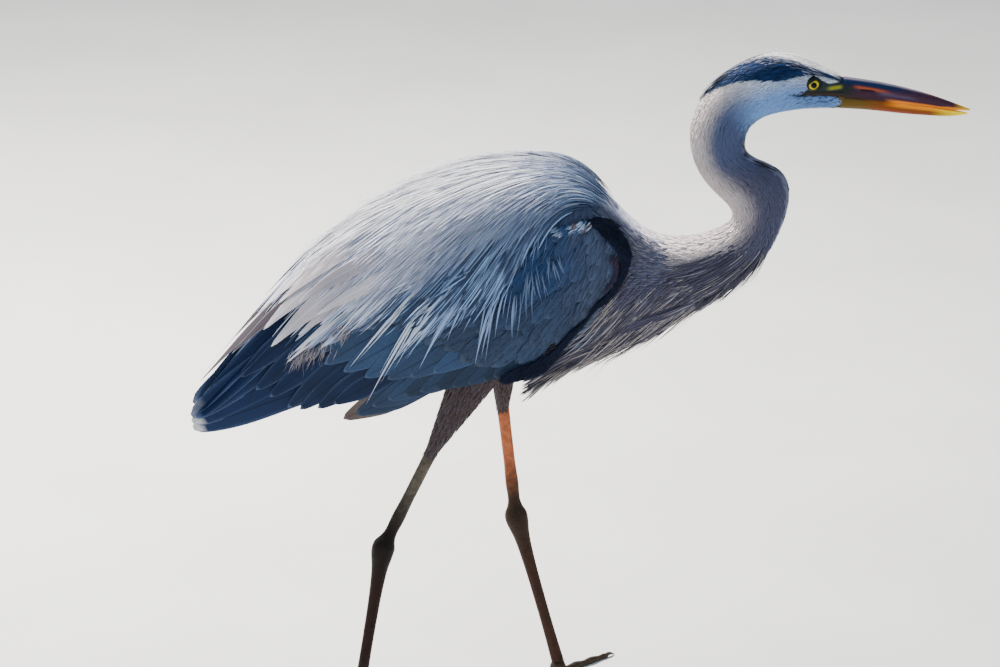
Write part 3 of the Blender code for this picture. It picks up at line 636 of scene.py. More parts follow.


# ---------------------------------------------------------------- markings, painted shade and highlights
# The black stripe on the head: its upper and lower edge in degrees from the back line.
STRIPE_S = (16.9, 17.3, 17.5, 18.0, 18.5, 19.0, 19.5, 20.0, 20.5, 20.9)
STRIPE_TOP = (-4, -4, -4, -2, 3, 18, 28, 35, 35, 37)
STRIPE_LOW = (10, 26, 34, 55, 71, 79, 71, 59, 50, 44)
CRESCENT_OUT = ((0.018, 0.5785), (0.0349, 0.569), (0.0457, 0.556), (0.0533, 0.541),
                (0.0544, 0.5295), (0.0512, 0.515), (0.0420, 0.497), (0.0325, 0.486),
                (0.0220, 0.4780), (0.0115, 0.4660), (-0.0010, 0.4510), (-0.0180, 0.4280),
                (-0.0345, 0.4060), (-0.0560, 0.3950), (-0.0740, 0.3900))
CRESCENT_IN = ((0.006, 0.5770), (0.0160, 0.568), (0.0290, 0.556), (0.0420, 0.540), (0.0455, 0.526),
               (0.0415, 0.509), (0.0335, 0.495), (0.0225, 0.4845), (0.0111, 0.4690),
               (-0.0085, 0.4520), (-0.0290, 0.4290), (-0.0560, 0.4120), (-0.0760, 0.4020))


def screen_z(points):
    """Height as seen from a little above on the side that the point is on."""
    return points[..., 2] - 0.325 * np.abs(points[..., 1])


def lore_mark(points):
    """1 on the bare skin from the eye to the bill, between an upper and a lower side-view line."""
    x, z = points[..., 0], screen_z(points)
    upper = np.interp(x, (0.2440, 0.2500, 0.2620, 0.2700, 0.2790, 0.2870),
                      (0.7000, 0.7045, 0.7125, 0.7085, 0.7100, 0.7135))
    lower = np.interp(x, (0.2280, 0.2380, 0.2480, 0.2600, 0.2770, 0.2870),
                      (0.6948, 0.6932, 0.6944, 0.6940, 0.6936, 0.6930))
    rise = np.interp(x, (0.2280, 0.2380, 0.2440), (0.6954, 0.6956, 0.6995))
    upper = np.where(x < 0.2440, rise, upper)
    return ease(z, lower - 0.0006, lower + 0.0004) * (1 - ease(z, upper - 0.0005, upper + 0.0006)) \
        * ease(x, 0.2290, 0.2360)


def body_tint(s, a, points):
    """The coat's colour on the body, by station, angle from the back line and place, with painted
    shade and highlights by the angle round.
    """
    turn = np.degrees(np.abs((a + math.pi) % TAU - math.pi))
    x, z = points[..., 0], screen_z(points)
    fine, broad = mottle(points, 0.006, 1), mottle(points, 0.022, 2)

    # The neck's top is lighter: a pale nape with a painted highlight on it.
    nape = ease(np.cos(np.radians(turn)), -0.1, 0.9)
    streak = mottle(np.stack([s * 4.5, np.radians(turn) * 4.0, 0 * s], -1), 1.0, 3)
    # The blues low on the neck's sides are painted shade.
    neck = painted(
        MAUVE, ((0.060, 0.070, 0.135), 0.8 * ease(turn, 60, 130) * ease(s, 9.5, 11.5)),
        (PALE_MAUVE, nape * 0.85),
        (mix(PALE_MAUVE, (0.080, 0.112, 0.225), ease(turn, 44, 88)), 0.85 * ease(s, 13.5, 16.0)),
        (UMBER, 0.62 * ease(s, 12.2, 9.4) * ease(turn, 50, 118)),
        (np.where((streak > 0.60)[..., None], BLACK, (0.20, 0.22, 0.32)),
         ease(turn, 146, 158) * ease(s, 10.6, 12.0) * (1 - ease(s, 15.4, 16.6))))

    flank = ease(turn, 92, 104) * ease(x, -0.118, -0.104) * (1 - ease(x, 0.004, 0.020))
    trunk = painted(
        LAVENDER, (mix(SILVER, MAUVE, ease(s, 6.4, 7.6)),
                   0.85 * ease(turn, 22, 60) * ease(s, 4.5, 6.0)),
        (SLATE, ease(turn, 60, 110) * ease(s, 6.2, 4.6)),
        (UMBER, 0.7 * ease(turn, 84, 130) * ease(s, 5.2, 6.6)),
        (BLACK, flank * (s < 7.2)))

    top, low = np.interp(s, STRIPE_S, STRIPE_TOP), np.interp(s, STRIPE_S, STRIPE_LOW)
    stripe = ease(turn, top - 3, top + 3) * (1 - ease(turn, low - 4, low + 4))
    lore = lore_mark(points) * (s > 18.5)
    # A yellow-green painted highlight on the lore skin near the bill.
    lore_glint = lore * np.exp(-(np.abs((x - 0.2772) / 0.0084) ** 4)) * np.exp(
        -(((z - 0.7040 - 0.16 * (x - 0.2772)) / 0.0021) ** 4))
    gape = np.exp(-((z - 0.6962) / 0.0012) ** 2) * ease(x, 0.2400, 0.2480)
    jaw = ease(np.hypot((x - 0.2740) / 0.0092, (z - 0.6875) / 0.0062), 0.94, 1.06) * (x > 0.2740)
    spots = (mottle(points, 0.0020, 12) > 0.64) & (z > 0.6862) & (z < 0.6932) & (
        x > 0.238) & (x < 0.282)
    tint = painted(
        trunk, (neck, ease(s, 7.0, 9.4)),
        # The face's white goes to a blue painted shade down its sides.
        (mix(WHITE, SHADED_WHITE, 0.30 * ease(turn, 40, 60) + 0.70 * ease(turn, 60, 112)),
         ease(s + 0.9 * ease(turn, 60, 150), 16.9, 18.6)),
        # The black stripe is tinted dark blue as a painted sheen.
        (mix((0.005, 0.020, 0.068), SLATE, 0.7 * ease(turn, top + 20, top + 4) * fine),
         stripe * ease(s, 16.8, 17.5)),
        (mix(LORE, OLIVE, ease(z, 0.7012, 0.6990)), lore),
        (LORE_GLINT_TINT, 0.9 * lore_glint * ease(points[..., 0], 0.2872, 0.2815)),
        ((0.075, 0.034, 0.030), 0.8 * gape * lore),
        ((0.130, 0.080, 0.010), jaw * (z < 0.6936) * (s > 18.5)),
        ((0.008, 0.020, 0.052), ease(x, 0.2765, 0.2840) * (s > 20.2) * ease(z, 0.7075, 0.7095)
         * ease(turn, 8, 16)),
        ((0.03, 0.04, 0.06), 0.85 * spots * (s > 18.5)))
    return tint * (0.92 + 0.16 * broad)[..., None]


# ---------------------------------------------------------------- skin
def limb(points, heading, depth, width, around, beside=(0.0, 1.0, 0.0), floor=False):
    """Oval rings square to the heading: width along beside, depth across it."""
    heading = np.broadcast_to(heading, points.shape)
    up = unit(np.cross(beside, heading))
    sideways = np.cross(heading, up)
    angle = circle(around)
    depth, width = (np.broadcast_to(v if np.ndim(v) == 2 else np.asarray(v)[:, None],
                                    (len(points), around)) for v in (depth, width))
    rings = (points[:, None] + up[:, None] * (depth * np.cos(angle))[..., None]
             + sideways[:, None] * (width * np.sin(angle))[..., None])
    if floor:
        rings[..., 2] = np.maximum(rings[..., 2], 0.0)
    return rings


def leg_points(sign):
    """Top of the thigh, its half depth, top of the bare shank, ankle and foot of one leg."""
    (tx, tz), depth, (sx, sz), (ax, az), (fx, fz) = LEGS[sign]
    return (np.array([tx, sign * HIP_Y, tz]), depth, np.array([sx, sign * SHANK_Y, sz]),
            np.array([ax, sign * ANKLE_Y, az]), np.array([fx, sign * FOOT_Y, fz]))


def toe_ways(sign, heading):
    """A toe's way ahead, turned from straight forward by its heading, and the way beside it."""
    turn = -sign * math.radians(heading)
    return (np.array([math.cos(turn), math.sin(turn), 0.0]),
            np.array([-math.sin(turn), math.cos(turn), 0.0]))


def thigh(sign, share, turn, lift=0.0):
    """The feathered thigh: oval rings from the hip to the bare shank, thinning on the way."""
    top, hip_depth, low, ankle, _ = leg_points(sign)
    share, turn = np.broadcast_arrays(np.asarray(share, float), np.asarray(turn, float))
    s = share[..., None]
    heading = unit(unit(low - top) * (1 - s**2) + unit(ankle - low) * s**2)
    up = unit(np.cross([0.0, 1.0, 0.0], heading))
    fall = np.clip(1 - share, 0, 1)
    depth = SHANK_RADIUS + 0.0010 + (hip_depth - SHANK_RADIUS) * fall**0.95 + lift
    width = SHANK_RADIUS + 0.0008 + 0.0125 * fall**0.7 + lift
    return (top + (low - top) * s + up * (depth * np.cos(turn))[..., None]
            + np.cross(heading, up) * (width * np.sin(turn))[..., None])


def leg_skin(sign):
    """The whole leg as one loft, hip to pad, with scutes stepping down the front of the tarsus."""
    top, hip_depth, low, ankle, foot = leg_points(sign)
    down, onward = unit(ankle - low), unit(foot - ankle)
    rows = [(top + (low - top) * t, max(SHANK_RADIUS, SHANK_RADIUS
                                        + (hip_depth - SHANK_RADIUS) * (1 - t)**0.95 - 0.004),
             max(SHANK_RADIUS * 0.86, SHANK_RADIUS + 0.0125 * (1 - t)**0.7 - 0.003))
            for t in np.linspace(0, 1, 7)[:-1]]
    end = ankle - down * 0.011
    rows += [(low + (end - low) * t, SHANK_RADIUS * (1.08 - 0.10 * t) + 0.003 * t**5,
              SHANK_RADIUS * 0.86 + 0.0026 * t**5) for t in np.linspace(0, 1, 6)[:-1]]
    knob = ((-0.0107, 0.0092), (-0.004, 0.0122), (0.002, 0.0127), (0.010, 0.0118), (0.020, 0.0098),
            (0.036, 0.0080), (0.090, 0.0063), (0.140, 0.0062),
            (np.linalg.norm(foot - ankle), 0.0070))
    rows += [(ankle + (down if d < 0 else onward) * d, r, r * 0.80) for d, r in knob]
    centre, depth, width = (np.array([r[i] for r in rows]) for i in range(3))
    chord = np.linalg.norm(np.diff(centre, axis=0), axis=1)
    knots = np.concatenate([[0], np.cumsum(chord)])
    shank_knot, ankle_knot = 6, 13
    at = np.linspace(0, knots[-1], 260)
    centre = np.stack([np.interp(at, knots, c) for c in centre.T], -1)
    for _ in range(6):
        centre[1:-1] = (centre[:-2] + centre[1:-1] * 2 + centre[2:]) / 4
    around = 40
    from_ankle = (at - knots[ankle_knot])[:, None]
    scute = np.abs(np.sin(from_ankle * math.pi / 0.0052)) ** 0.5 - 0.5
    ripple = 0.00028 * scute * ease(-np.cos(circle(around)), 0.2, 0.8) * ease(
        from_ankle, 0.012, 0.03)
    knee = 0.00030 * np.sin(from_ankle * TAU / 0.0032) * np.exp(-(from_ankle / 0.012) ** 2)
    depth, width = (spline(knots, v, at)[:, None] + ripple + knee for v in (depth, width))
    rings = limb(centre, unit(np.gradient(centre, axis=0)), depth, width, around)
    # The bare legs are a real salmon brown; the far (left) leg is lightened as painted sunlight and
    # the near one darkened as painted shade.
    upper, knob_tint, lower = {
        1: ((0.50, 0.140, 0.055), (0.034, 0.018, 0.010), (0.036, 0.014, 0.008)),
        -1: ((0.105, 0.084, 0.062), (0.009, 0.005, 0.004), (0.018, 0.006, 0.004))}[sign]
    shank = mix(upper, knob_tint, ease(from_ankle, -0.095, -0.020))
    bare = ease(at, knots[shank_knot] - 0.004, knots[shank_knot] + 0.004)[:, None]
    colour = painted(THIGH, (shank, bare), (lower, ease(from_ankle, 0.01, 0.05)))
    return loft("leg", rings, colour * (0.82 + 0.36 * mottle(rings, 0.004, 5))[..., None])


def foot_parts(sign):
    """The pad and the four toes of one foot, with scutes across the top of each toe."""
    foot = leg_points(sign)[4]
    middle = foot * np.array([1, 1, 0])
    level = np.array([0.0, 0.06, 0.18, 0.36, 0.55, 0.70, 0.82, 0.92, 1.06]) * foot[2]
    reach = PAD_REACH * 1.04 * np.array([0.86, 0.94, 1.0, 1.03, 1.0, 0.95, 0.88, 0.80, 0.70])
    angle = circle(40)
    rings = middle + np.stack([np.cos(angle), np.sin(angle), 0 * angle], -1) * reach[:, None, None]
    rings[..., 2] = level[:, None]
    parts = [loft("pad", rings, (0.040, 0.026, 0.018))]
    share, around = np.linspace(0, 1, 90), 24
    for toe, (length, heading, _) in TOES.items():
        ahead, beside = toe_ways(sign, heading)
        steps = PAD_REACH * 0.35 + (length - PAD_REACH * 0.35) * share
        pads = 1 + 0.10 * np.cos(TAU * share * (3 if toe != "hind" else 2))
        radius = TOE_RADIUS * (1 - 0.36 * share) * pads * (1 - 0.42 * ease(share, 0.93, 1.0))
        path = middle + ahead * steps[:, None]
        path[:, 2] = radius * 0.86
        over = ease(np.cos(circle(around)) * np.sign(np.cross(beside, ahead)[2]), -0.1, 0.6)
        scute = (np.abs(np.sin(steps * math.pi / 0.0036)) ** 0.5 - 0.6)[:, None] * over * 0.00030
        rings = limb(path, ahead, radius[:, None] + scute, radius[:, None] * 0.92 + scute * 0.5,
                     around, beside, floor=True)
        parts.append(loft("toe", rings, np.array((0.042, 0.028, 0.019)) * (
            0.8 + 0.4 * mottle(rings, 0.004, 6))[..., None]))
    return parts


LID_AXIS = math.radians(36)  # the eye's opening is longest along this rise towards the bill


def lids(sign):
    """Bare lids round the eye: a ring with its inner rim on the eyeball, its outer in the head.

    The opening's radius is a mean plus a cosine of twice the angle from its long axis. From rim to
    rim the ring follows a ball a little larger than the eye; the upper lid is drawn down over the
    iris, and small sines fold the whole.
    """
    around, section = 120, 20
    u, v = grid(circle(around), circle(section))
    hood = np.exp(-((np.angle(np.exp(1j * (u - LID_AXIS - math.pi / 2)))) / 0.8) ** 2)
    folds = 1 + 0.16 * np.sin(2 * v + 9 * u) + 0.10 * np.sin(23 * u)
    inner = 0.00525 + 0.00085 * np.cos(2 * (u - LID_AXIS)) - 0.00050 * hood
    outer = 0.00805 + 0.00095 * np.cos(2 * (u - LID_AXIS))
    share = (1 + np.cos(v)) / 2
    ring = inner + (outer - inner) * share
    ball = np.sqrt((EYE_RADIUS + 0.0003) ** 2 - ring**2)
    out = (EYE_Y + ball - 0.0016 * ease(share, 0.35, 1.0)
           + (0.00045 + 0.0010 * share) * np.sin(v) * folds)
    points = np.stack([EYE_X + ring * np.cos(u), sign * out, EYE_Z + ring * np.sin(u)], -1)
    colour = painted((0.022, 0.028, 0.026), ((0.10, 0.11, 0.06), 0.6 * ease(-np.sin(u), 0.2, 0.9)),
                     ((0.004, 0.004, 0.005), ease(-np.cos(v), 0.2, 0.9)))
    quads = tube_faces(around + 1, section) % (around * section)
    if sign < 0:
        quads = quads[:, ::-1]
    return put("lid", points, halved(quads), colour, np.stack([u, v], -1) / TAU * 0.98 + 0.01)


def build_skin():
    """One skin: body, wing flesh, breast keel, legs and feet joined, then lids round the eyes."""
    s = np.concatenate([np.linspace(0, 17, 190), np.linspace(17, LAST, 91)[1:]])
    grid_s, grid_a = grid(s, circle(96))
    inset = np.interp(s, (0, 7, 10, 16.5, 18, 20.3, LAST),
                      (0.008, 0.008, 0.0055, 0.0045, 0.0026, 0.0016, 0.0006))[:, None]
    rings = body(grid_s, grid_a, -inset)
    wrinkle = (mottle(rings, 0.0035, 8) - 0.5) * 0.0009 * ease(grid_s, 19.8, 20.4)
    rings = body(grid_s, grid_a, -inset + wrinkle)
    # The skin is darker than the coat above it: painted shade showing between the feathers.
    skin = loft("skin", rings, body_tint(grid_s, grid_a, rings) * 0.8,
                bakes=np.stack([grid_a / TAU, grid_s / LAST], -1) * 0.99)
    at, turn = grid(np.linspace(0.03, 0.93, 60), circle(40))
    parts = [loft("keel", keel(at, turn, -0.0045)[::-1], UMBER)]
    for sign in SIDES:
        parts += [wing_flesh(sign), leg_skin(sign), *foot_parts(sign)]
    for part in parts:
        bare = part.name.split(".")[0] in ("leg", "pad", "toe")
        part.data.materials.append(SCALES if bare else UNDERCOAT)
    skin.data.materials.append(UNDERCOAT)
    skin.data.materials.append(SCALES)
    joined(skin, parts)
    lid_pieces = [lids(sign) for sign in SIDES]
    for lid in lid_pieces:
        lid.data.materials.append(SCALES)
    return joined(skin, lid_pieces)


def wing_flesh(sign):
    """The folded arm under the coverts: a closed slab between two depths below the mantle."""
    along, across = 60, 40
    u = np.linspace(0, 1, along)
    top, low = edge(WING_TOP, u), edge(WING_EDGE, u)
    share = np.linspace(0.02, 0.97, across)
    share = np.concatenate([share, np.linspace(0.97, 0.02, across)])[:, None, None]
    places = (1 - share) * top[None] + share * low[None]
    ahead = np.linspace(1, 0, along) ** 3
    places[..., 0] += WING_BEND * 4 * (share * (1 - share))[..., 0] * ahead - 0.004 * ahead
    lift = np.repeat([-0.0062, -0.0175], across)[:, None] * np.ones(along)
    rings = (laid(places, lift)[0] * np.array([1, -sign, 1])).transpose(1, 0, 2)
    return loft("wing", rings, SLATE, inwards=sign < 0)


# ---------------------------------------------------------------- the coat on body, neck and head
RNG = np.random.default_rng(11)


def off_the_eye(reach):
    """Keeps feathers whose whole length stays clear of the oval lids, rooted off the bare skin."""
    def keep(path):
        """Distance from the eye, shortened along the lids' long axis, beyond reach all along."""
        x, z = path[..., 0] - EYE_X, path[..., 2] - EYE_Z
        away = np.hypot((x * math.cos(LID_AXIS) + z * math.sin(LID_AXIS)) / 1.22,
                        z * math.cos(LID_AXIS) - x * math.sin(LID_AXIS))
        return (away > reach).all(axis=1) & (lore_mark(path[:, 0]) < 0.4)
    return keep


def short_coat(name, count, s_range, length, width, lays, start, keep=None, steps=4, vary=0.10,
               camber=0.30):
    """A tract of short feathers: roots spread evenly, size by station, colour by marking and
    painted light.
    """
    s, a = scatter(body, s_range, (0.0, TAU), count, start=start)
    tint = body_tint(s, a, body(s, a)) * (1 + vary * RNG.normal(size=(count, 1)))
    tint = np.clip(tint, 0.004, 0.9)
    return on_body(name, s, a, np.interp(s, *length) * RNG.uniform(0.85, 1.15, count),
                   np.interp(s, *width) * RNG.uniform(0.85, 1.15, count), lays, tint, steps,
                   turn=RNG.normal(scale=0.08, size=count), keep=keep, root_shade=0.95,
                   camber=camber)


def mirrored(s, a):
    """Places on the body's left half and their mirror images."""
    return np.concatenate([s, s]), np.concatenate([a, -a])


def dark_or_pale(pale, cream, black, mauve):
    """Cream plumes where pale, else brown ones going by shares to black, then to mauve."""
    return np.where(pale[:, None], mix(MAUVE, CREAM, cream),
                    painted(UMBER, (BLACK, black), (MAUVE, mauve)))


def build_head_coat():
    """Short white feathers on the face, the crest's black plumes and a few long ones behind."""
    knots = (16.7, 18.5, 20.0, 20.9)
    face = short_coat("face_feathers", 7200, (16.7, 20.93),
                      (knots, (0.0105, 0.0075, 0.0050, 0.0036)),
                      (knots, (0.00125, 0.00095, 0.00072, 0.00055)),
                      (-0.0018, 0.0006), 0.13, off_the_eye(0.0069))
    finish(face, SOFT, "face_white")
    s, a = scatter(body, (16.9, 20.90), (0.0, math.radians(80)), 1100, start=0.31)
    turn = np.degrees(a)
    top, low = np.interp(s, STRIPE_S, STRIPE_TOP), np.interp(s, STRIPE_S, STRIPE_LOW)
    inside = (turn > top) & (turn < low - 2)
    s, a = mirrored(s[inside], a[inside])
    count = len(s)
    # Black plumes tinted dark blue: a painted blue sheen.
    tint = np.array((0.006, 0.022, 0.070)) * RNG.uniform(0.6, 2.0, (count, 1))
    top = np.interp(s, STRIPE_S, STRIPE_TOP)
    grey = RNG.random(count) < 0.72 * ease(np.degrees(np.abs(a)), top + 30, top + 3)
    tint[grey] = np.array(LAVENDER) * RNG.uniform(0.12, 0.60, (grey.sum(), 1))
    crest = on_body("crest_plumes", s, a, RNG.uniform(0.010, 0.020, count),
                    RNG.uniform(0.0005, 0.0009, count), (0.0000, 0.0013), tint, 7,
                    keep=off_the_eye(0.0072))
    finish(crest, DARK, "crest_black", "crest_left", "crest_right")
    count = 16
    s = RNG.uniform(17.15, 17.9, count)
    a = RNG.uniform(-0.38, 0.38, count)
    tint = np.where(RNG.random((count, 1)) < 0.7, np.array([BLACK]), np.array([PEARL]) * 0.7)
    long_plumes = on_body("nape_plumes", s, a, RNG.uniform(0.018, 0.036, count),
                          RNG.uniform(0.0006, 0.0010, count), (0.0006, 0.0026), tint, 14,
                          turn=RNG.normal(scale=0.05, size=count))
    finish(long_plumes, DARK, "crest_black")


def build_neck_coat():
    """Short neck feathers in two tracts, then the loose plumes at the root of the throat."""
    knots = (7.4, 9.5, 16.5, 17.3)
    for name, low, high in (("lower", 7.4, 12.0), ("upper", 12.0, 17.4)):
        neck = short_coat(name + "_neck_feathers", 6200, (low, high),
                          (knots, (0.025, 0.021, 0.0150, 0.0120)),
                          (knots, (0.0022, 0.0018, 0.0013, 0.0011)),
                          (-0.0032, 0.0001), 0.57, vary=0.020, camber=0.12)
        finish(neck, SOFT, "neck_mauve")
    count = 1700
    s, a = scatter(body, (7.2, 11.2), (math.radians(66), math.radians(294)), count, start=0.77)
    turn = np.degrees(np.abs(a - math.pi))
    pale = RNG.random(count) < np.interp(turn, (0, 40, 105), (0.20, 0.18, 0.12))
    tint = dark_or_pale(pale, RNG.uniform(0.3, 1.0, count), 0.4 * RNG.random(count),
                        0.2 + 0.7 * RNG.random(count))
    loose = RNG.uniform(0.001, 0.010, count) * (RNG.random(count) < 0.5)
    loose = np.where(turn < 50, loose, 0.0)
    finish(on_body("throat_plumes", s, a, RNG.uniform(0.040, 0.078, count),
                   np.where(pale, 0.0005, 0.0013) * RNG.uniform(0.8, 1.2, count),
                   (-0.0018, 0.0014 + loose[:, None]), tint, 8,
                   turn=0.58 * np.sin(a) * ease(s, 10.8, 8.6), camber=0.16,
                   taper=(0.4, 0.35, 0.04)), HAIR, "breast_plumes")


def build_body_coat():
    """Short feathers all over the trunk, with narrow ones laid over the shoulders."""
    knots = (0, 3, 6.5, 8.2)
    trunk = short_coat("body_feathers", 3000, (0.15, 8.2), (knots, (0.030, 0.032, 0.028, 0.022)),
                       (knots, (0.0050, 0.0052, 0.0044, 0.0032)), (-0.0070, 0.0002), 0.23)
    finish(trunk, SOFT, "body_slate")
    s, a = mirrored(*scatter(body, (4.6, 8.8), (math.radians(20), math.radians(116)), 1600,
                             start=0.91))
    count, turn = len(s), np.degrees(np.abs(a))
    # The shoulder feathers' deep blue base is painted shade over the front of the shoulder.
    tint = mix((0.080, 0.140, 0.290), LAVENDER, 0.6 * RNG.random(count) ** 1.8)
    tint = painted(tint * RNG.uniform(0.8, 1.1, (count, 1)),
                   (MAUVE, np.maximum(0.8 * ease(turn, 50, 95), 0.8 * ease(s, 6.2, 7.2))),
                   (LAVENDER, ease(turn, 34, 20)))
    finish(on_body("shoulder_feathers", s, a, RNG.uniform(0.020, 0.034, count),
                   RNG.uniform(0.0007, 0.0014, count), (-0.0030, 0.0012), tint, 5), HAIR,
           "body_slate")


def build_breast_plumes():
    """Loose plumes along the keel: narrow strands, each a stretch of one of its lengthwise lines.

    Those rooted low fall away from it: each point sinks by its droop times the share squared.
    """
    count = 2300
    at, turn = scatter(keel, (0.0, 0.80), (math.radians(30), math.radians(330)), count, start=0.41)
    t = np.linspace(0, 1, 8)
    reach = RNG.uniform(0.26, 0.48, count)
    reach = np.minimum(reach, 1.06 - at - 0.28 * RNG.random(count) * (at > 0.5))
    along = at[:, None] + reach[:, None] * t
    round_ = turn[:, None] + RNG.normal(scale=0.07, size=(count, 1)) * t
    lift = -0.0030 + RNG.uniform(0.0014, 0.0046, (count, 1)) * t**1.2
    path = keel(np.clip(along, 0, 1), round_, lift)
    over = np.maximum(along - 1, 0)[..., None]
    path = path + over * np.array([-0.20, 0.0, -0.10])
    low = np.abs(turn - math.pi) < 0.9
    droop = np.where(low, RNG.uniform(0.0, 0.016, count) * (RNG.random(count) < 0.45), 0.0)
    path = path + (droop[:, None] * t**2)[..., None] * np.array([-0.35, 0.0, -1.0])
    normal = -square_to(keel, np.clip(along, 0.01, 0.99), round_)
    pale = RNG.random(count) < np.where(low, 0.22, 0.12)
    tint = dark_or_pale(pale, RNG.uniform(0.4, 1, count), 0.5 * RNG.random(count),
                        0.7 * RNG.random(count))
    # Plumes on the keel's top are lightened towards mauve brown: painted light filling the shade of
    # the crease between keel and body.
    tint = mix(tint, mix(UMBER, MAUVE, 0.7), 0.75 * ease(np.cos(turn), -0.3, 0.5) * ~pale)
    shade = mix(tint[:, None], CREAM, ease(t, 0.72, 1.0) * (0.75 * (droop > 0.003))[:, None])
    half = (np.where(pale, 0.0006, 0.0014) * RNG.uniform(0.8, 1.3, count))[:, None] * outline(
        t, 0.6, 0.3, 0.05)
    plumes = feathers("breast_plume_strands", path, normal, half, shade, seats(at, turn / TAU),
                      RNG.random(count))
    finish(plumes, HAIR, "breast_plumes")


def build_breast_lines():
    """Long pale plumes from the lower neck over the breast, the lowest hanging past its edge.

    Straight runs in side view, bowed by 4t(1 - t). Across, the wider of two ellipses at that x,
    half * sqrt(1 - share^2) with share the height from the middle, then raised.
    """
    count = 96
    ahead, up = spread(count, 0.53).T
    x0 = 0.030 + 0.125 * ahead
    low = np.interp(x0, (0.030, 0.090, 0.155), (0.404, 0.432, 0.469))
    high = np.interp(x0, (0.030, 0.060, 0.100, 0.155), (0.520, 0.520, 0.505, 0.505))
    z0 = low + (high - low) * up ** 1.3
    t = np.linspace(0, 1, 11)
    angle = np.radians(np.interp(x0, (0.03, 0.15), (48, 37)) + RNG.normal(scale=3.0, size=count))
    run = (RNG.uniform(0.045, 0.105, count) * (0.75 + 0.25 * up))[:, None] * t
    bow = RNG.normal(scale=0.0018, size=(count, 1)) * 4 * t * (1 - t)
    x = x0[:, None] - run * np.cos(angle)[:, None]
    z = z0[:, None] - run * np.sin(angle)[:, None] + bow
    back, belly = BODY[4:11, :2], BODY[4:11, 2:4]
    form = np.zeros_like(x)
    keel_half = (0.006, 0.026, 0.024, 0.010)
    for upper, lower, half in (
            (back, belly, BODY[4:11, 4]),
            (np.array(KEEL_TOP)[::-1], np.array(KEEL_LOW)[-2::-1], keel_half)):
        top = np.interp(x, upper[:, 0], upper[:, 1])
        foot = np.interp(x, lower[:, 0], lower[:, 1])
        share = (z - (top + foot) / 2) / ((top - foot) / 2)
        wide = np.interp(x, upper[:, 0], half)
        form = np.maximum(form, wide * np.sqrt(np.clip(1 - share**2, 0, 1)))
    y = -(np.maximum(form, 0.004) + 0.0016 * t + RNG.uniform(0.0, 0.0012, (count, 1)))
    path = np.stack([x, y, z], -1)
    normal = unit(np.stack([0.0 * x, y, 0.25 * (z - 0.47)], -1))
    tint = mix(MAUVE, CREAM, RNG.uniform(0.30, 1.0, count) * (0.5 + 0.5 * ease(up, 0.1, 0.3)))
    half = RNG.uniform(0.00024, 0.00042, (count, 1)) * outline(t, 0.6, 0.3, 0.03)
    seat = seats(x0 / 0.2, (z0 - 0.4) / 0.15, pair=True)
    finish(both_sides("breast_lines", path, normal, half, tint, seat, RNG.random(count)), HAIR,
           "breast_plumes")


def build_thighs():
    """Short feathers down the thighs, each a stretch of one of the thigh's lengthwise lines."""
    for sign, side in SIDES.items():
        def surface(p, q, lift=0.0):
            """This side's thigh."""
            return thigh(sign, p, q, lift)

        count = 1300
        share, turn = scatter(surface, (0.0, 0.97), (0.0, TAU), count, start=0.3)
        t = np.linspace(0, 1, 5)
        down = share[:, None] + RNG.uniform(0.10, 0.15, (count, 1)) * t
        round_ = turn[:, None] + RNG.normal(scale=0.12, size=(count, 1)) * t
        lift = -0.0028 + 0.0032 * t
        path = surface(np.minimum(down, 1.10), round_, lift)
        normal = square_to(surface, np.clip(down, 0.01, 0.99), round_, -1)
        tint = mix(THIGH, MAUVE, RNG.random(count) ** 2 * 0.25)
        tint = tint * RNG.uniform(0.92, 1.08, (count, 1))
        half = RNG.uniform(0.0013, 0.0021, (count, 1)) * outline(t, 0.4, 0.45, 0.10)
        # Each thigh feather is darker towards its root: painted shade under the ones over it.
        coat = feathers("thigh_feathers_" + side, path, normal, half,
                        tint[:, None] * (0.96 + 0.08 * t[None, :, None]), seats(share, turn / TAU),
                        RNG.random(count))
        finish(coat, SOFT, "thigh_brown")


# ---------------------------------------------------------------- the folded wings
def pale_line(x):
    """Side-view height under which the back's pale hair-like feathers stop."""
    return np.interp(x, (-0.30, -0.2383, -0.1949, -0.1624, -0.1299, -0.1082, -0.0648, -0.0215,
                         0.0219, 0.05),
                     (0.470, 0.4935, 0.4995, 0.522, 0.5385, 0.558, 0.577, 0.588, 0.590, 0.578))


def plume_line(x):
    """Side-view height where the plumes stop over the wing coverts."""
    return np.interp(x, (-0.348, -0.334, -0.3065, -0.2845, -0.2515, -0.2185, -0.1965, -0.1745,
                         -0.1415, -0.1085, -0.0865, -0.0645, -0.0425, -0.0205, 0.007, 0.0367),
                     (0.457, 0.4425, 0.430, 0.435, 0.4498, 0.4656, 0.4716, 0.4728, 0.4719,
                      0.4824, 0.5017, 0.5349, 0.5640, 0.5760, 0.580, 0.571))


def trimmed(places, floor_line, ragged):
    """Cuts each centreline where it passes below a side-view line, its steps kept in number."""
    count, steps = places.shape[:2]
    z = mantle(places[..., 0], places[..., 1])[..., 2]
    past = z < floor_line(places[..., 0]) - ragged * RNG.random((count, 1)) ** 1.5
    first = np.where(past.any(1), past.argmax(1), steps - 1)
    at = np.linspace(0, 1, steps)[None] * np.maximum(first, 2)[:, None]
    low = np.minimum(at.astype(int), steps - 2)
    share = (at - low)[..., None]
    rows = np.arange(count)[:, None]
    return places[rows, low] * (1 - share) + places[rows, low + 1] * share, first


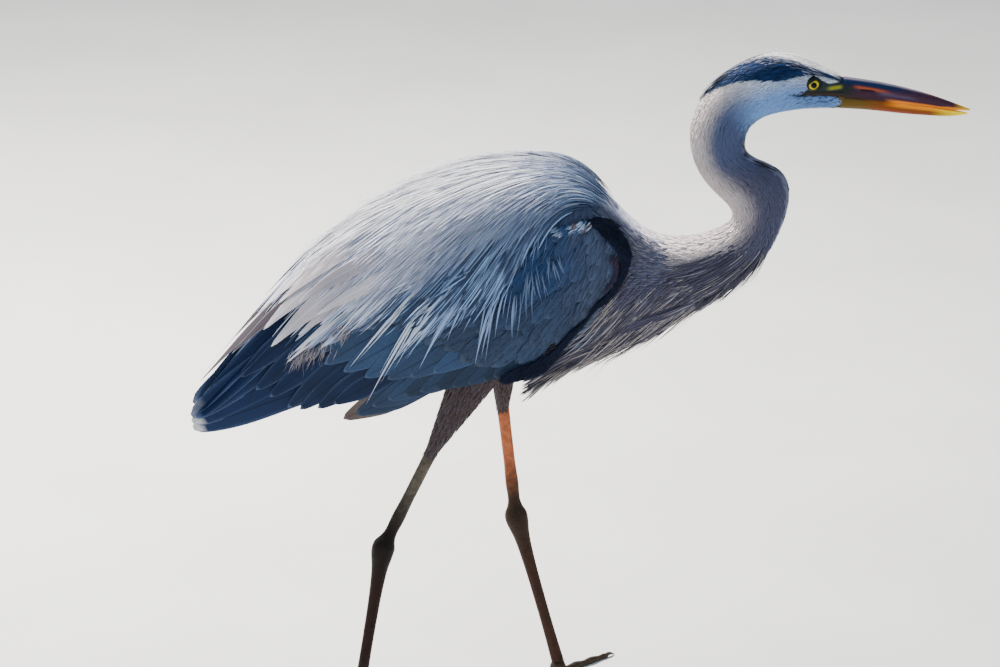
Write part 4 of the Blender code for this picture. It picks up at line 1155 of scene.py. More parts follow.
def strands(name, x, q, length, half, lifts, tint, steps, keep=slice(None), floor_line=None,
            ragged=0.0, across=3, camber=0.3, taper=(0.5, 0.35, 0.05), shade_edges=None):
    """Long feathers on both wings from kept roots (x, q), sweeping back and down the mantle."""
    x, q, length, half, tint = (v[keep] for v in (x, q, length, half, tint))
    places = swept(x, q, length, steps)
    if floor_line is not None:
        places, first = trimmed(places, floor_line, ragged)
        long_enough = first > steps // 3
        places, x, q, half, tint = (v[long_enough] for v in (places, x, q, half, tint))
    t = np.linspace(0, 1, steps)
    lift = lifts[0] + (lifts[1] - lifts[0]) * t**1.1
    path, normal = laid(places, lift + RNG.uniform(-0.0003, 0.0003, (len(x), 1)))
    own = RNG.random(len(x))
    if shade_edges is not None:
        tint = shade_edges(tint[:, None], t, across_places(across))
    return both_sides(name, path, normal, half[:, None] * outline(t, *taper), tint,
                      seats((x + 0.45) / 0.6, q, pair=True), own, across, camber)


def back_slope(x, q):
    """Radians below straight back: small by the ridge, steep on the side, easing off behind."""
    side = np.interp(x, (-0.30, -0.25, -0.20, -0.16, -0.11, -0.08, -0.055, -0.03, 0.0, 0.045),
                     (14, 22, 28, 36, 50, 60, 74, 72, 52, 34))
    ridge = np.interp(x, (-0.30, -0.10, 0.045), (5, 8, 12))
    return np.radians(ridge + (side - ridge) * ease(q, 0.04, 0.56))


def back_tint_and_shade(x, z):
    """The back's pale tint going to silver blue painted shade near its lower line and in front, and
    the shade's share."""
    side = ease(z, pale_line(x) + 0.056, pale_line(x) + 0.006) * ease(x, -0.22, -0.12)
    share = np.maximum(side, 0.9 * ease(x, -0.045, 0.010))
    return mix(LAVENDER, SILVER, share), share


def plume_shade(edge_tint, amount):
    """Pale or dark borders: the tint blended to edge_tint towards |c| = 1 and the tip."""
    def shade(tint, t, c):
        """The larger of a share rising with |c| and one rising by the tip, times the amount."""
        share = amount * np.maximum(ease(np.abs(c), 0.35, 1.0)[None], ease(t, 0.90, 1.0)[:, None])
        return mix(tint[:, :, None], edge_tint, share[None])
    return shade


def build_back():
    """Plumes over the back and wing: broad lances, narrow strands, pale hairs, loose wisps."""
    count = 640
    x, q = scatter(mantle, (-0.300, 0.020), (0.004, 0.60), count, start=0.62)
    z = mantle(x, q)[:, 2]
    length = RNG.uniform(0.060, 0.115, count)
    tint = painted(back_tint_and_shade(x, z)[0], (DEEP_SLATE, ease(z, pale_line(x) + 0.010,
                                                         pale_line(x) - 0.010) * 0.9),
                   (SILVER, RNG.random(count) ** 2 * 0.4)) * RNG.uniform(0.85, 1.12, (count, 1))
    keep = (z > plume_line(x) + 0.014) & ((x > -0.235) | (q < 0.12))
    finish(strands("scapular_plumes", x, q, length, RNG.uniform(0.0028, 0.0048, count),
                   (-0.0024, 0.0006), tint, 14, keep, plume_line, 0.012, 5, 0.16,
                   (0.45, 0.45, 0.03), plume_shade(SILVER, 0.30)), PLUME, "plume_silver",
           "scapulars_left", "scapulars_right")

    count = 1750
    x, q = scatter(mantle, (-0.290, 0.050), (0.002, 0.64), count, start=0.17)
    z = mantle(x, q)[:, 2]
    pick = RNG.random(count)
    tint = painted(SLATE, (DEEP_SLATE, 0.3 + 0.7 * RNG.random(count)),
                   (ICE, (pick > 0.52) * RNG.uniform(0.2, 0.90, count)))
    light, shaded = back_tint_and_shade(x, z)
    light = mix(light, PEARL, 0.5 * RNG.random(count) * (1 - 0.7 * shaded))
    tint = mix(tint, light, ease(z, pale_line(x) - 0.006, pale_line(x) + 0.016))
    tint = tint * RNG.uniform(0.80, 1.10, (count, 1))
    keep = (z > plume_line(x) + 0.008) & ((x > -0.18) | (RNG.random(count) < 0.22))
    half = RNG.uniform(0.0007, 0.0014, count) * np.where(pick > 0.55, 0.75, 1.2)
    finish(strands("plume_strands", x, q, RNG.uniform(0.040, 0.085, count), half,
                   (-0.0004, 0.0020), tint, 9, keep, plume_line, 0.030), HAIR, "plume_silver")

    count = 3000
    x, q = scatter(mantle, (-0.262, 0.052), (0.001, 0.42), count, start=0.83)
    z = mantle(x, q)[:, 2]
    keep = z > pale_line(x) + 0.010 * RNG.random(count)
    keep &= (x > -0.17) | (RNG.random(count) < 0.30)
    light, shaded = back_tint_and_shade(x, z)
    tint = painted(light, (PEARL, RNG.random(count) * 0.7 * (1 - 0.6 * shaded)),
                   (SLATE, (RNG.random(count) < 0.22) * 0.7))
    tint = tint * RNG.uniform(0.88, 1.10, (count, 1))
    finish(strands("back_hairs", x, q, RNG.uniform(0.026, 0.050, count),
                   RNG.uniform(0.0005, 0.0010, count), (0.0002, 0.0022), tint, 7, keep,
                   lambda x: pale_line(x) - 0.006, 0.020, taper=(0.5, 0.3, 0.05)), HAIR,
           "plume_silver")

    count = 240
    x, q = scatter(mantle, (-0.262, -0.03), (0.001, 0.16), count, start=0.29)
    tint = mix(PEARL, WHITE, RNG.random(count))
    lift = (np.full((count, 1), 0.0008), RNG.uniform(0.002, 0.0125, (count, 1)))
    finish(strands("loose_wisps", x, q, RNG.uniform(0.045, 0.100, count),
                   RNG.uniform(0.0004, 0.0011, count), lift, tint, 10,
                   taper=(0.6, 0.3, 0.02)), HAIR, "plume_silver")


# The long pointed plumes over the wing: where each starts and ends in side view, half its width.
LANCES = (
    (-0.1635, 0.5132, -0.2515, 0.4024, 19), (-0.1602, 0.4970, -0.2328, 0.3609, 17),
    (-0.1470, 0.4882, -0.2020, 0.4142, 26), (-0.1283, 0.5043, -0.1877, 0.4173, 18),
    (-0.1250, 0.5008, -0.1745, 0.4058, 25), (-0.1195, 0.4939, -0.1437, 0.4408, 15),
    (-0.0942, 0.4898, -0.1140, 0.4112, 17), (-0.0887, 0.4899, -0.1063, 0.4259, 16),
    (-0.0810, 0.5018, -0.0920, 0.4455, 14), (-0.0700, 0.4960, -0.0733, 0.4443, 16),
    (-0.0557, 0.5220, -0.0579, 0.4660, 13), (-0.0502, 0.5113, -0.0513, 0.4696, 13),
    (-0.0480, 0.5196, -0.0403, 0.4838, 10), (-0.0293, 0.5346, -0.0238, 0.5073, 9),
    (-0.0337, 0.5347, -0.0326, 0.5052, 9), (-0.0249, 0.5368, -0.0150, 0.5153, 8),
    (-0.0755, 0.5522, -0.1118, 0.4752, 11), (-0.0678, 0.5569, -0.0975, 0.5286, 9),
    (-0.0865, 0.5346, -0.1129, 0.4751, 10), (-0.1712, 0.5128, -0.2108, 0.4907, 12),
    (-0.1118, 0.5212, -0.1635, 0.4851, 12), (-0.1525, 0.4974, -0.1932, 0.4564, 13),
    (-0.1965, 0.4973, -0.2570, 0.4378, 14), (-0.2130, 0.4964, -0.2735, 0.4288, 14),
    (-0.1360, 0.5063, -0.1690, 0.4636, 13), (-0.2300, 0.4900, -0.3150, 0.4150, 13),
    (-0.0600, 0.5500, -0.0760, 0.5000, 9), (-0.0450, 0.5600, -0.0520, 0.5250, 8))


def build_lances():
    """Long pointed plumes lying over the wing, each with shorter ones beside it.

    Points between two places in side view, bowed by 4t(1 - t), put on the mantle and raised.
    """
    table = np.array(LANCES)
    beside, across = 5, 5
    lead = np.arange(len(table) * beside) % beside == 0
    table = np.repeat(table, beside, axis=0)
    count = len(table)
    shift = RNG.normal(scale=0.0042, size=(count, 2)) * ~lead[:, None]
    root = table[:, 0:2] + shift
    share = np.where(lead, 1.0, RNG.uniform(0.45, 0.95, count))
    tip = root + (table[:, 2:4] - table[:, 0:2]) * share[:, None]
    tip = tip + RNG.normal(scale=0.0035, size=(count, 2)) * ~lead[:, None]
    t = np.linspace(0, 1, 16)
    bow = np.where(lead, 0.0022, RNG.normal(scale=0.002, size=count))
    along = root[:, None] + (tip - root)[:, None] * t[:, None]
    along = along + (bow[:, None] * 4 * t * (1 - t))[..., None] * np.array([-0.6, 0.8])
    path, normal = laid(on_mantle(along), 0.0004 + RNG.uniform(0.0016, 0.0034, (count, 1)) * t)
    width = (table[:, 4] * 0.8e-4 * np.where(lead, 1.0, RNG.uniform(0.30, 0.65, count)))[:, None]
    width = width * outline(t, 0.35, 0.40, 0.02) * (1 - 0.75 * ease(t, 0.45, 1.0))
    tint = painted(SILVER, (ICE, np.where(lead, 0.42, RNG.uniform(0.0, 0.5, count))),
                   (PEARL, 0.60 * ease(table[:, 0], -0.12, -0.17)),
                   (SLATE, 0.80 * ease(table[:, 0], -0.10, -0.05)))
    shade = mix(DEEP_SLATE, tint[:, None], 0.35 + 0.65 * ease(t, 0.0, 0.35)[None])
    shade = plume_shade(PEARL, 0.12)(shade, t, across_places(across))
    seat = seats((root[:, 0] + 0.45) / 0.6, (root[:, 1] - 0.3) / 0.4, pair=True)
    finish(both_sides("wing_lances", path, normal, width, shade, seat, RNG.random(count), across,
                      0.22), PLUME, "plume_silver")


def build_crescent():
    """Short feathers at the bend of the wing: black along it, rust inside, white spots above."""
    count, few = 1300, 110
    along, across = spread(count, 0.27).T
    outer, inner = curve(CRESCENT_OUT, along), curve(CRESCENT_IN, along)
    black = inner + (outer - inner) * across[:, None]
    ahead = unit(curve(CRESCENT_OUT, np.minimum(along + 0.04, 1))
                 - curve(CRESCENT_OUT, np.maximum(along - 0.04, 0)))
    tint = np.array(BLACK) * RNG.uniform(0.6, 1.8, (count, 1))
    length = RNG.uniform(0.009, 0.016, count)
    rust = np.stack([RNG.uniform(0.0395, 0.0440, few), RNG.uniform(0.500, 0.5375, few)], -1)
    rust[:, 0] -= (rust[:, 1] - 0.522) ** 2 * 22
    pale = np.stack([RNG.uniform(-0.028, 0.014, few), RNG.uniform(0.5670, 0.5765, few)], -1)
    pale[:, 1] += 0.14 * pale[:, 0]
    lumps = mottle(np.stack([pale[:, 0], pale[:, 1], 0 * pale[:, 0]], -1), 0.0055, 9)
    white = mix(SLATE, mix(ICE, WHITE, 0.25), ease(pale[:, 0], -0.044, -0.006))
    spot = painted(SLATE, (white, 0.9 * ease(lumps, 0.26, 0.50)),
                   ((0.13, 0.055, 0.045), 0.8 * ease(lumps, 0.62, 0.68)))
    at = np.concatenate([black, rust, pale])
    ahead = np.concatenate([ahead, np.tile(unit(np.array([-0.45, -1.0])), (few, 1)),
                            np.tile(unit(np.array([-1.0, -0.6])), (few, 1))])
    tint = np.concatenate([tint, mix(RUFOUS, DEEP_SLATE, RNG.uniform(0.45, 1.0, few)), spot])
    length = np.concatenate([length, RNG.uniform(0.005, 0.010, 2 * few)])
    count = len(at)
    t = np.linspace(0, 1, 5)
    places = on_mantle(at[:, None] + ahead[:, None] * (length[:, None] * t)[..., None])
    path, normal = laid(places, -0.0014 + 0.0024 * t)
    half = RNG.uniform(0.0010, 0.0017, (count, 1)) * outline(t, 0.4, 0.45, 0.08)
    half[-2 * few:] *= 0.6
    seat = seats((at[:, 0] + 0.1) / 0.2, (at[:, 1] - 0.38) / 0.22, pair=True)
    kept = np.concatenate([np.ones(count, bool), places[:, 0, 1] > 0.31])
    finish(both_sides("shoulder_crescent", path, normal, half, tint, seat, RNG.random(count),
                      kept=kept), DARK, "crest_black")


COVERT_ROWS = ((0.06, 34, 0.018, 0.0042), (0.13, 34, 0.020, 0.0046), (0.20, 32, 0.022, 0.0050),
               (0.28, 30, 0.025, 0.0054), (0.37, 28, 0.028, 0.0060), (0.47, 26, 0.033, 0.0068),
               (0.58, 24, 0.040, 0.0078), (0.74, 21, 0.050, 0.0096), (1.00, 17, 0.068, 0.0122))


def covert_tint(u, v, pick):
    """Coverts are grey at the bend (u = 0), deep blue painted shade over slate above and behind,
    dull slate low down.
    """
    tint = mix((0.015, 0.044, 0.120), (0.031, 0.050, 0.092), ease(v, 0.45, 0.85))
    tint = mix(tint, (0.068, 0.086, 0.140), 0.8 * ease(u, 0.30, 0.08))
    return tint * (0.82 + 0.36 * pick)[:, None]


def on_arm(u, v, across=None):
    """The place (x, q) on the folded arm at share u along it and share v across, or another
    share across. The arm bulges ahead by 4 v (1 - v) (1 - u)^3 of the wing's bend."""
    top, low = edge(WING_TOP, u), edge(WING_EDGE, u)
    place = top + (low - top) * (v if across is None else across)[:, None]
    place[:, 0] += WING_BEND * 4 * v * (1 - v) * (1 - u) ** 3
    return place, mantle(place[:, 0], place[:, 1])


def crescent_front(z):
    """How far ahead the outer line of the black crescent stands at height z."""
    outer = np.array(CRESCENT_OUT)[::-1]
    return np.interp(z, outer[:, 1], outer[:, 0])


def build_coverts():
    """Rows of rounded coverts on the folded arm, each row's tips over the next row's roots, and
    short hair-like feathers all over them."""
    rows = []
    for share, number, length, half in COVERT_ROWS:
        u = (np.arange(number) + 0.5 + 0.20 * RNG.normal(size=number)) / number
        rows.append(np.stack([u, share + 0.018 * RNG.normal(size=number), np.full(number, length),
                              np.full(number, half)], -1))
    u, v, length, half = np.concatenate(rows).T
    u = np.clip(u, 0.004, 0.996)
    tip, at = on_arm(u, v)
    kept = tip[:, 0] < crescent_front(at[:, 2]) - 0.004
    u, v, length, half, tip = (a[kept] for a in (u, v, length, half, tip))
    tip[:, 1] -= 0.06 * np.exp(-((tip[:, 0] + 0.052) / 0.018) ** 2) * (v > 0.9)
    at = mantle(tip[:, 0], tip[:, 1])
    angle = np.radians(np.interp(u, (0, 0.2, 0.6, 1), (58, 50, 34, 24)))
    across = 7
    t, c = np.linspace(0, 1, 9), across_places(across)
    back = (length * RNG.uniform(0.92, 1.08, len(u)))[:, None] * (1 - t)
    x = at[:, :1] + back * np.cos(angle)[:, None] * 0.9
    z = at[:, 2:] + back * np.sin(angle)[:, None]
    x = np.minimum(x, crescent_front(z) - 0.005)
    lift = -0.0052 + 0.0022 * t**1.2 + RNG.uniform(-0.0002, 0.0002, (len(u), 1))
    path, normal = laid(on_mantle(np.stack([x, z], -1)), lift)
    # Towards its side edges each covert is darkened: painted shade between the coverts.
    shade = painted(covert_tint(u, v, RNG.random(len(u)))[:, None, None],
                    (PEARL, ease(t, 0.94, 1.0)[None, :, None] * 0.01),
                    (DEEP_SLATE, ease(np.abs(c), 0.6, 1.0)[None, None] * 0.12))
    width = half[:, None] * outline(t, 0.55, 0.62, 0.10)
    coverts = both_sides("wing_coverts", path, normal, width, shade, seats(u, v, pair=True),
                         RNG.random(len(u)), across, 0.03, patch=0.02)
    finish(coverts, COVERT, "covert_slate")

    count = 1300
    u, v = spread(count, 0.37).T
    root, at = on_arm(u, v, v * 0.96)
    t = np.linspace(0, 1, 6)
    run = RNG.uniform(0.010, 0.026, count)[:, None] * t * (1 - 0.55 * v)[:, None]
    angle = np.radians(np.interp(u, (0, 0.2, 0.6, 1), (66, 60, 40, 28))
                       + RNG.normal(scale=5, size=count))[:, None]
    x, z = at[:, :1] - run * np.cos(angle), at[:, 2:] - run * np.sin(angle)
    kept = (z[:, -1] > 0.408) & (root[:, 0] < crescent_front(at[:, 2]) - 0.009)
    path, normal = laid(on_mantle(np.stack([x, z], -1))[kept], -0.0030 + 0.0018 * t)
    tint = covert_tint(u, v, RNG.random(count)) * RNG.uniform(0.75, 1.45, (count, 1))
    half = RNG.uniform(0.0003, 0.0007, (count, 1)) * outline(t, 0.5, 0.35, 0.05)
    finish(both_sides("covert_hairs", path, normal, half[kept], tint[kept],
                      seats(u[kept], v[kept], pair=True), RNG.random(kept.sum()), 3, 0.16), HAIR,
           "covert_slate")


def broad(name, root, tip, half, lifts, tint, taper, edge_tint=SILVER, edge_share=0.45, worn=None,
          point=0.0):
    """Flight feathers on both wings: vanes with straight shafts between places (x, q)."""
    count, steps, across, camber = len(root), 26, 9, 0.05
    t, c = np.linspace(0, 1, steps), across_places(across)
    places = root[:, None] + (tip - root)[:, None] * t[:, None]
    lift = (lifts[0] + (lifts[1] - lifts[0]) * t) - (np.arange(count) * lifts[2])[:, None]
    path, normal = laid(places, lift)
    width = half[:, None] * outline(t, *taper) * (1 - point * ease(t, 0.60, 1.0))
    border = np.maximum(ease(np.abs(c), 0.88, 1.0)[None], ease(t, 0.975, 1.0)[:, None])
    shade = mix(tint[:, None, None], edge_tint, edge_share * border[None])
    if worn is not None:
        shade = worn(shade, t, c)
    shade = shade * (0.86 + 0.28 * mottle(path, 0.018, 4))[:, :, None, None]
    tiles = np.arange(2 * count)
    wide = int(math.ceil(math.sqrt(2 * count)))
    seat = np.stack([tiles % wide, tiles // wide], -1) / wide
    return both_sides(name, path, normal, width, shade, seat, RNG.random(count), across, camber,
                      patch=0.94 / wide)


# Tips and roots of the flight feathers in side view: x, z.
SECONDARIES = ((-0.0930, 0.3935), (-0.1041, 0.3895), (-0.1217, 0.3850), (-0.1393, 0.3813),
               (-0.1569, 0.3780), (-0.1745, 0.3740), (-0.1921, 0.3686), (-0.2097, 0.3630),
               (-0.2273, 0.3540), (-0.2449, 0.3430), (-0.2590, 0.3370))
PRIMARIES = ((-0.2691, 0.3560), (-0.2867, 0.3500), (-0.3065, 0.3480), (-0.3200, 0.3500),
             (-0.3395, 0.3620), (-0.3549, 0.3701), (-0.3725, 0.3847))
INNER_TIPS = ((-0.1600, 0.3990), (-0.1850, 0.3930), (-0.2100, 0.3890), (-0.2350, 0.3900),
              (-0.2580, 0.3960), (-0.2790, 0.4040), (-0.2970, 0.4150))
PRIMARY_ROOTS = ((-0.190, 0.405), (-0.2273, 0.4309), (-0.2405, 0.4421), (-0.2570, 0.4531),
                 (-0.2735, 0.4640))
# Tertials and the longest feathers of the back: root x, z, tip x, z, half width in 0.1 mm, and
# how far the colour goes from pearl to brown mauve in tenths.
TERTIALS = ((-0.2166, 0.4980, -0.3098, 0.4206, 42, 1), (-0.2437, 0.4720, -0.3185, 0.4080, 28, 0),
            (-0.2230, 0.5080, -0.3060, 0.4400, 60, 3), (-0.2050, 0.5380, -0.3360, 0.4250, 110, 2),
            (-0.2700, 0.5090, -0.3780, 0.4080, 72, 10), (-0.2850, 0.5070, -0.4150, 0.3690, 84, 10),
            (-0.2350, 0.5350, -0.3430, 0.4400, 104, 3), (-0.1700, 0.5300, -0.2860, 0.4640, 74, 2),
            (-0.1850, 0.5480, -0.3050, 0.4740, 86, 3), (-0.2150, 0.5560, -0.3260, 0.4680, 90, 2),
            (-0.2200, 0.5500, -0.3440, 0.4560, 96, 3))


def build_flight_feathers():
    """Tail under primaries under secondaries and tertials, each a row of broad vanes, and the
    worn down of the tertials."""
    u = ((np.arange(6) + 0.5) / 6)[:, None]
    low = edge(TAIL_EDGE, np.array([0.0, 1.0]))
    front = np.array([(-0.290, RIDGE_GAP), low[0] + (0.016, 0)])
    rear = np.array([(-0.4300, 0.01), low[1] + (0.0, -0.03)])
    root, tip = front[0] + (front[1] - front[0]) * u, rear[0] + (rear[1] - rear[0]) * u

    def tail_worn(shade, t, c):
        """Pale slanting tips on the innermost tail feathers."""
        inner = np.array((0, 0, 0, 0.2, 0.9, 1.0))[:, None, None]
        return mix(shade, (0.44, 0.45, 0.46), ease(t[:, None] + 0.035 * c, 0.925, 0.938) * inner)

    finish(broad("tail_feathers", root, tip, np.full(6, 0.0165), (-0.0138, -0.0118, 0.00025),
                 mix(SLATE, NAVY, 0.88 + 0.12 * RNG.random(6)), (0.7, 0.55, 0.18),
                 worn=tail_worn), VANE, "flight_navy", "tail")

    tip = np.array(SECONDARIES)
    count = len(tip)
    slope = np.radians(np.linspace(32, 30, count))
    length = np.linspace(0.095, 0.135, count)[:, None]
    root = tip + length * np.stack([np.cos(slope), np.sin(slope)], -1)
    root[:, 0] = np.minimum(root[:, 0], -0.035)
    tints = mix(GRAPHITE, SLATE, 0.35 * RNG.random(count))
    tints[-1] = (0.10, 0.075, 0.065)
    finish(broad("secondary_feathers", on_mantle(root), on_mantle(tip),
                 np.linspace(0.0130, 0.0170, count), (-0.0088, -0.0056, 0.0002), tints,
                 (0.7, 0.60, 0.05), edge_share=0.16, point=0.35), VANE, "flight_navy",
           "secondaries_left", "secondaries_right")

    root = curve(PRIMARY_ROOTS, np.linspace(0, 1, len(PRIMARIES)))
    finish(broad("primary_feathers", on_mantle(root), on_mantle(np.array(PRIMARIES)),
                 np.full(7, 0.0125), (-0.0092, -0.0062, 0.0002),
                 mix(NAVY, GRAPHITE, 0.15 + 0.30 * RNG.random(7)), (0.8, 0.50, 0.05), point=0.30),
           VANE, "flight_navy", "primaries_left", "primaries_right")

    tip = np.array(INNER_TIPS)
    finish(broad("inner_secondaries", on_mantle(tip + (0.094, 0.061)), on_mantle(tip),
                 np.full(7, 0.0150), (-0.0072, -0.0044, 0.0001),
                 mix(GRAPHITE, SLATE, 0.25 + 0.35 * RNG.random(7)), (0.8, 0.55, 0.05),
                 edge_share=0.25, point=0.35), VANE, "flight_navy")

    table = np.array(TERTIALS)
    brown = table[:, 5] / 10
    tints = painted(WARM, (PEARL, 0.30 + 0.25 * RNG.random(len(table))),
                    ((0.030, 0.022, 0.033), brown))

    def tertial_worn(shade, t, _):
        """White towards the tip, the less the browner the feather is."""
        return mix(shade, WHITE, (0.5 * ease(t, 0.86, 0.99))[None, :, None]
                   * (1 - brown)[:, None, None])

    finish(broad("tertial_feathers", on_mantle(table[:, 0:2], 0.07), on_mantle(table[:, 2:4], 0.07),
                 table[:, 4] * 1e-4, (-0.0026, 0.0030, -0.00015), tints, (0.12, 0.45, 0.02),
                 edge_tint=WHITE, edge_share=0.25, worn=tertial_worn, point=0.45), TERTIAL,
           "tertial_grey", "tertials_left", "tertials_right")

    count = 150
    middle = np.array([(-0.3060, 0.4180), (-0.2930, 0.4220), (-0.2780, 0.4300), (-0.2560, 0.4520)])[
        RNG.integers(0, 4, count)]
    at = middle + RNG.normal(scale=(0.0055, 0.0034), size=(count, 2))
    t = np.linspace(0, 1, 6)
    heading = np.radians(RNG.normal(66, 9, count))[:, None]
    long = RNG.uniform(0.008, 0.024, count)[:, None] * t
    curl = RNG.normal(scale=0.0009, size=(count, 1)) * np.sin(t * 5)
    along = np.stack([at[:, :1] - long * np.cos(heading) + curl,
                      at[:, 1:] - long * np.sin(heading)], -1)
    path, normal = laid(on_mantle(along), 0.0004 + 0.0020 * t)
    half = RNG.uniform(0.00018, 0.00034, (count, 1)) * outline(t, 0.6, 0.4, 0.1)
    tint = mix(MAUVE, CREAM, RNG.random(count) ** 2)
    seat = seats((at[:, 0] + 0.45) / 0.3, (at[:, 1] - 0.3) / 0.3, pair=True)
    finish(both_sides("tertial_down", path, normal, half, tint, seat, RNG.random(count)), HAIR,
           "tertial_grey")


# ---------------------------------------------------------------- eyes, bill and claws
def build_eye(sign, side):
    """An eyeball with a raised cornea: radius by the angle from the eye's axis, yellow iris."""
    off, round_ = grid(np.linspace(0.004, math.pi - 0.004, 90), circle(96))
    degrees = np.degrees(off)
    radius = EYE_RADIUS * (0.985 + 0.020 * np.exp(-((degrees / 34) ** 4)))
    points = np.stack([EYE_X + radius * np.sin(off) * np.cos(round_),
                       sign * (EYE_Y + radius * np.cos(off)),
                       EYE_Z + radius * np.sin(off) * np.sin(round_)], -1)
    rays = 0.5 + 0.5 * np.sin(round_ * 37 + 3 * np.sin(round_ * 5))
    colour = painted((0.66, 0.50, 0.010), ((0.34, 0.25, 0.008), 0.7 * rays * ease(degrees, 25, 36)),
                     ((0.040, 0.036, 0.008), ease(degrees, 37, 42)),
                     ((0.002, 0.002, 0.003), ease(degrees, 22.5, 20.5)),
                     ((0.008, 0.008, 0.006), ease(degrees, 41, 46)))
    eye = loft("eye_ball_" + side, points, colour, inwards=sign > 0)
    finish(eye, eye_finish(), "eye_yellow", "eye_" + side)


def upper_tint(share, x, slit):
    """The upper bill: dusky, mauve ahead of the nostril with a painted lilac highlight, a streak,
    orange edge and tip, a painted ridge highlight.
    """
    warm = ease(share, 0.60 * ease(x, 0.375, 0.420) + 0.02, 0.40 * ease(x, 0.375, 0.420))
    streak = np.exp(-((share - 0.62 + (x - 0.300) * 1.6) / 0.070) ** 2)
    return painted(
        mix((0.016, 0.021, 0.019), (0.070, 0.034, 0.024), ease(share, 0.22, 0.02)),
        ((0.056, 0.018, 0.036), ease(x, 0.287, 0.306)),
        ((0.005, 0.020, 0.072), ease(share, 0.60, 0.78) * ease(x, 0.384, 0.330)),
        # A grey-lilac band on the mauve below the streak: painted highlight.
        ((0.115, 0.075, 0.135), 0.8 * np.exp(-((share - 0.42) / 0.10) ** 2)
         * ease(x, 0.318, 0.330) * ease(x, 0.376, 0.350)),
        ((0.60, 0.10, 0.012), 0.78 * streak * ease(x, 0.294, 0.304) * ease(x, 0.342, 0.322)),
        # A pale band along the ridge: painted highlight.
        ((0.30, 0.24, 0.28), 0.5 * np.exp(-((share - 0.97) / 0.04) ** 2) * ease(x, 0.388, 0.360)),
        ((0.020, 0.009, 0.009), 0.8 * ease(share, 0.20, 0.05) * ease(x, 0.345, 0.325)),
        ((0.90, 0.22, 0.0), 0.95 * ease(share, 0.17, 0.10) * ease(x, 0.328, 0.346)),
        ((0.80, 0.20, 0.002), 0.95 * warm * ease(x, 0.372, 0.388)),
        ((0.95, 0.50, 0.005), 0.8 * ease(x, 0.404, 0.420)),
        ((0.003, 0.002, 0.002), np.clip(slit * 1.2, 0, 1)))


def lower_tint(share, x):
    """The lower bill: olive at its base, red and orange ahead, a dark edge, a yellow tip."""
    return painted(
        (0.110, 0.062, 0.003), ((0.19, 0.040, 0.0), ease(x, 0.296, 0.335)),
        ((0.24, 0.024, 0.0), 0.7 * ease(share, 0.50, 0.90) * ease(x, 0.312, 0.330)
         * ease(x, 0.392, 0.360)),
        ((0.95, 0.28, 0.0), 0.95 * ease(share, 0.55, 0.20) * ease(x, 0.326, 0.352)),
        ((0.030, 0.014, 0.006), 0.8 * ease(share, 0.24, 0.06) * ease(x, 0.320, 0.306)),
        ((1.0, 0.74, 0.0), ease(x, 0.378, 0.416)))


def bill_half(name, stations, upper):
    """Half a bill: rings arched outside and flat where it closes, with a groove along each side."""
    x, top, bottom, half = np.array(stations).T
    at = np.concatenate([np.linspace(x[0] - 0.004, x[-2], 110), np.linspace(x[-2], x[-1], 30)[1:]])
    top, bottom, half = (spline(x, v, np.maximum(at, x[0])) for v in (top, bottom, half))
    half = np.where(at < x[0], half * 0.97, half)
    arch = np.linspace(0, math.pi, 41)
    shut = np.linspace(math.pi, TAU, 17)[1:-1]
    rise = np.concatenate([np.sin(arch) ** 0.85, -0.04 * np.sin(shut - math.pi)])
    across = np.concatenate([np.cos(arch), -np.cos(shut - math.pi)])
    share = np.broadcast_to(np.abs(rise), (len(at), len(rise)))
    at, top, bottom, half = (v[:, None] for v in (at, top, bottom, half))
    nostril, reach = 0.3115, 0.0085
    groove = np.exp(-((share - 0.46) / 0.11) ** 2) * ease(at, 0.372, 0.340) * ease(
        at, 0.286, 0.300) * upper
    slim = 0.055 * np.sqrt(np.clip(1 - ((at - nostril) / reach) ** 2, 0.0001, 1))
    slit = np.exp(-((share - 0.50 - (at - nostril) * 3) / slim) ** 2) * (
        np.abs(at - nostril) < reach) * upper
    y = (half - 0.0008 * groove - 0.0010 * slit) * across
    height = bottom + (top - bottom) * rise if upper else top - (top - bottom) * rise
    x = np.broadcast_to(at, y.shape)
    rings = np.stack([x, y, height], -1)
    colour = upper_tint(share, x, slit) if upper else lower_tint(share, x)
    colour = colour * (0.9 + 0.2 * mottle(rings * (0.12, 1, 1), 0.0022, 7))[..., None]
    return loft(name, rings, colour, inwards=not upper)


def build_claws():
    """Curved claws: round sections that thin to the power 0.75 and dip at the tip."""
    share = np.linspace(0, 1, 24)
    for sign, side in SIDES.items():
        middle = leg_points(sign)[4] * np.array([1, 1, 0])
        for toe, (length, heading, claw) in TOES.items():
            ahead, beside = toe_ways(sign, heading)
            steps = length - 0.0018 + share * (claw + 0.0018)
            radius = 0.0025 * (1 - share) ** 0.75 + 0.0003
            path = middle + ahead * steps[:, None]
            path[:, 2] = radius + 0.0015 * np.sin(math.pi * share ** 0.9)
            rings = limb(path, ahead, radius, radius * 0.8, 20, beside, floor=True)
            tone = mix((0.045, 0.038, 0.030), (0.012, 0.010, 0.009), share)[:, None]
            finish(loft(f"{toe}_claw_{side}", rings, tone), CLAW_HORN, "claw_horn",
                   f"claw_{toe}_{side}")


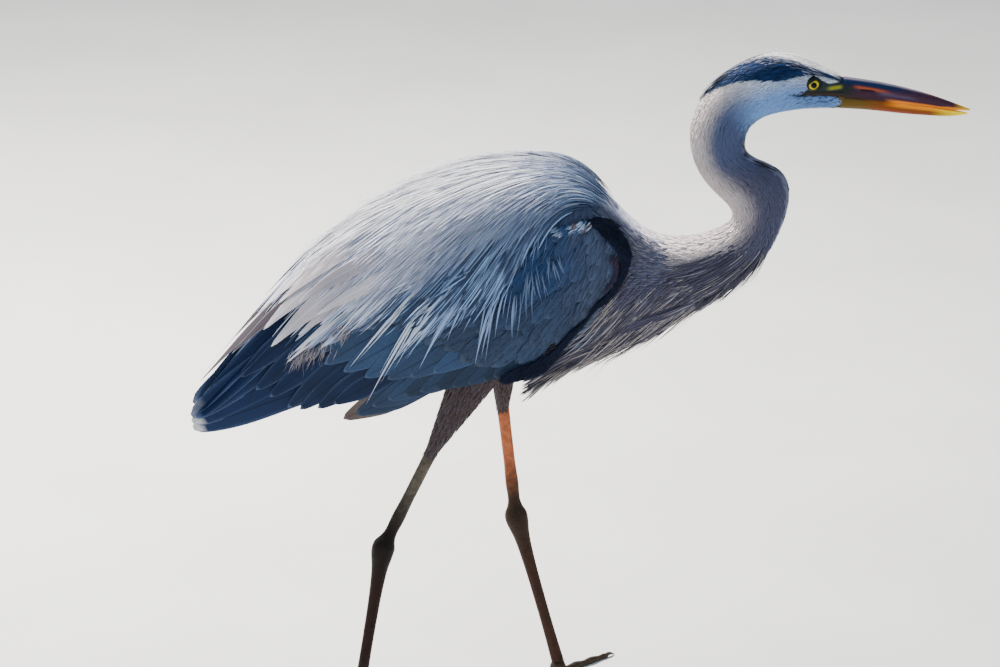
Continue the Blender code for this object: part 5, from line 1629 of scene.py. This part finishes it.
# ---------------------------------------------------------------- floor, light and camera
def build_stage():
    """A pale floor, a soft sky and three lamps."""
    points = 6.0 * np.array([(-1, -1, 0), (1, -1, 0), (1, 1, 0), (-1, 1, 0)])
    floor = put("floor", points - (FORWARD, 0, 0), np.array([[0, 1, 2, 3]]))
    n = Nodes("pale studio floor")
    tone = n.ramp(n.noise(n.place(), 3.0, 3.0), 0.3, 0.7, 0.93, 1.0)
    grey = n.scaled((0.80, 0.80, 0.79), tone)
    floor.data.materials.append(n.set(Base_Color=grey, Roughness=0.9))

    world = bpy.data.worlds.new("soft room")
    world.use_nodes = True
    sky = world.node_tree.nodes["Background"].inputs
    sky[0].default_value, sky[1].default_value = (0.74, 0.85, 1.0, 1), 0.38
    bpy.context.scene.world = world
    middle = np.array([-0.05, 0.0, 0.45])
    for name, place, energy, size, colour in (
            ("key", (-1.3, 1.3, 2.5), 340.0, 0.7, (1.0, 0.96, 0.90)),
            ("front fill", (-1.2, -3.3, 1.8), 42.0, 2.4, (0.66, 0.82, 1.0)),
            ("side fill", (2.6, -2.4, 1.2), 25.0, 2.0, (0.76, 0.87, 1.0))):
        lamp = bpy.data.lights.new(name, "AREA")
        lamp.energy, lamp.size, lamp.color = energy, size, colour
        holder = bpy.data.objects.new(name, lamp)
        bpy.context.scene.collection.objects.link(holder)
        aim(holder, np.array(place), middle)


def aim(obj, place, target):
    """Places an object so that its -Z looks from place to target."""
    obj.location = Vector(place)
    obj.rotation_euler = Vector(target - place).to_track_quat("-Z", "Y").to_euler()


def build_camera():
    """Level with the bird's side, raised 18 degrees, 6.5 m away: 1.1 m wide at the bird."""
    target = np.array([-0.0865 + FORWARD, 0.0, 0.424])
    tilt, away, wide, film = math.radians(18), 6.5, 1.10, 36.0
    place = target + away * np.array([0, -math.cos(tilt), math.sin(tilt)])
    data = bpy.data.cameras.new("camera")
    data.sensor_width, data.lens = film, film * away / wide
    data.clip_start, data.clip_end = 0.1, 60.0
    camera = bpy.data.objects.new("camera", data)
    bpy.context.scene.collection.objects.link(camera)
    aim(camera, place, target)
    bpy.context.scene.camera = camera


build_camera()
build_stage()
skin = build_skin()
flesh = ["trunk", "neck_lower", "neck_bend", "neck_middle", "neck_upper", "head", "breast_plumes"]
limbs = ["wing", "thigh", "shank", "tarsus", "foot_pad", *("toe_" + toe for toe in TOES)]
flesh += [f"{part}_{side}" for side in SIDES.values() for part in limbs]
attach(skin, "root")
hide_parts(*flesh)
for sign, side in SIDES.items():
    build_eye(sign, side)
BILL_HORN = horn("bill horn", 0.50, (40.0, 700.0, 700.0), 0.03)
CLAW_HORN = horn("claw horn", 0.42, (300.0, 300.0, 300.0), 0.15)
finish(bill_half("bill_over", UPPER_BILL, True), BILL_HORN, "bill_dusky", "bill_upper")
finish(bill_half("bill_under", LOWER_BILL, False), BILL_HORN, "bill_yellow", "bill_lower")
build_claws()
build_head_coat()
build_neck_coat()
build_body_coat()
build_breast_plumes()
build_breast_lines()
build_thighs()
build_back()
build_lances()
build_coverts()
build_crescent()
build_flight_feathers()
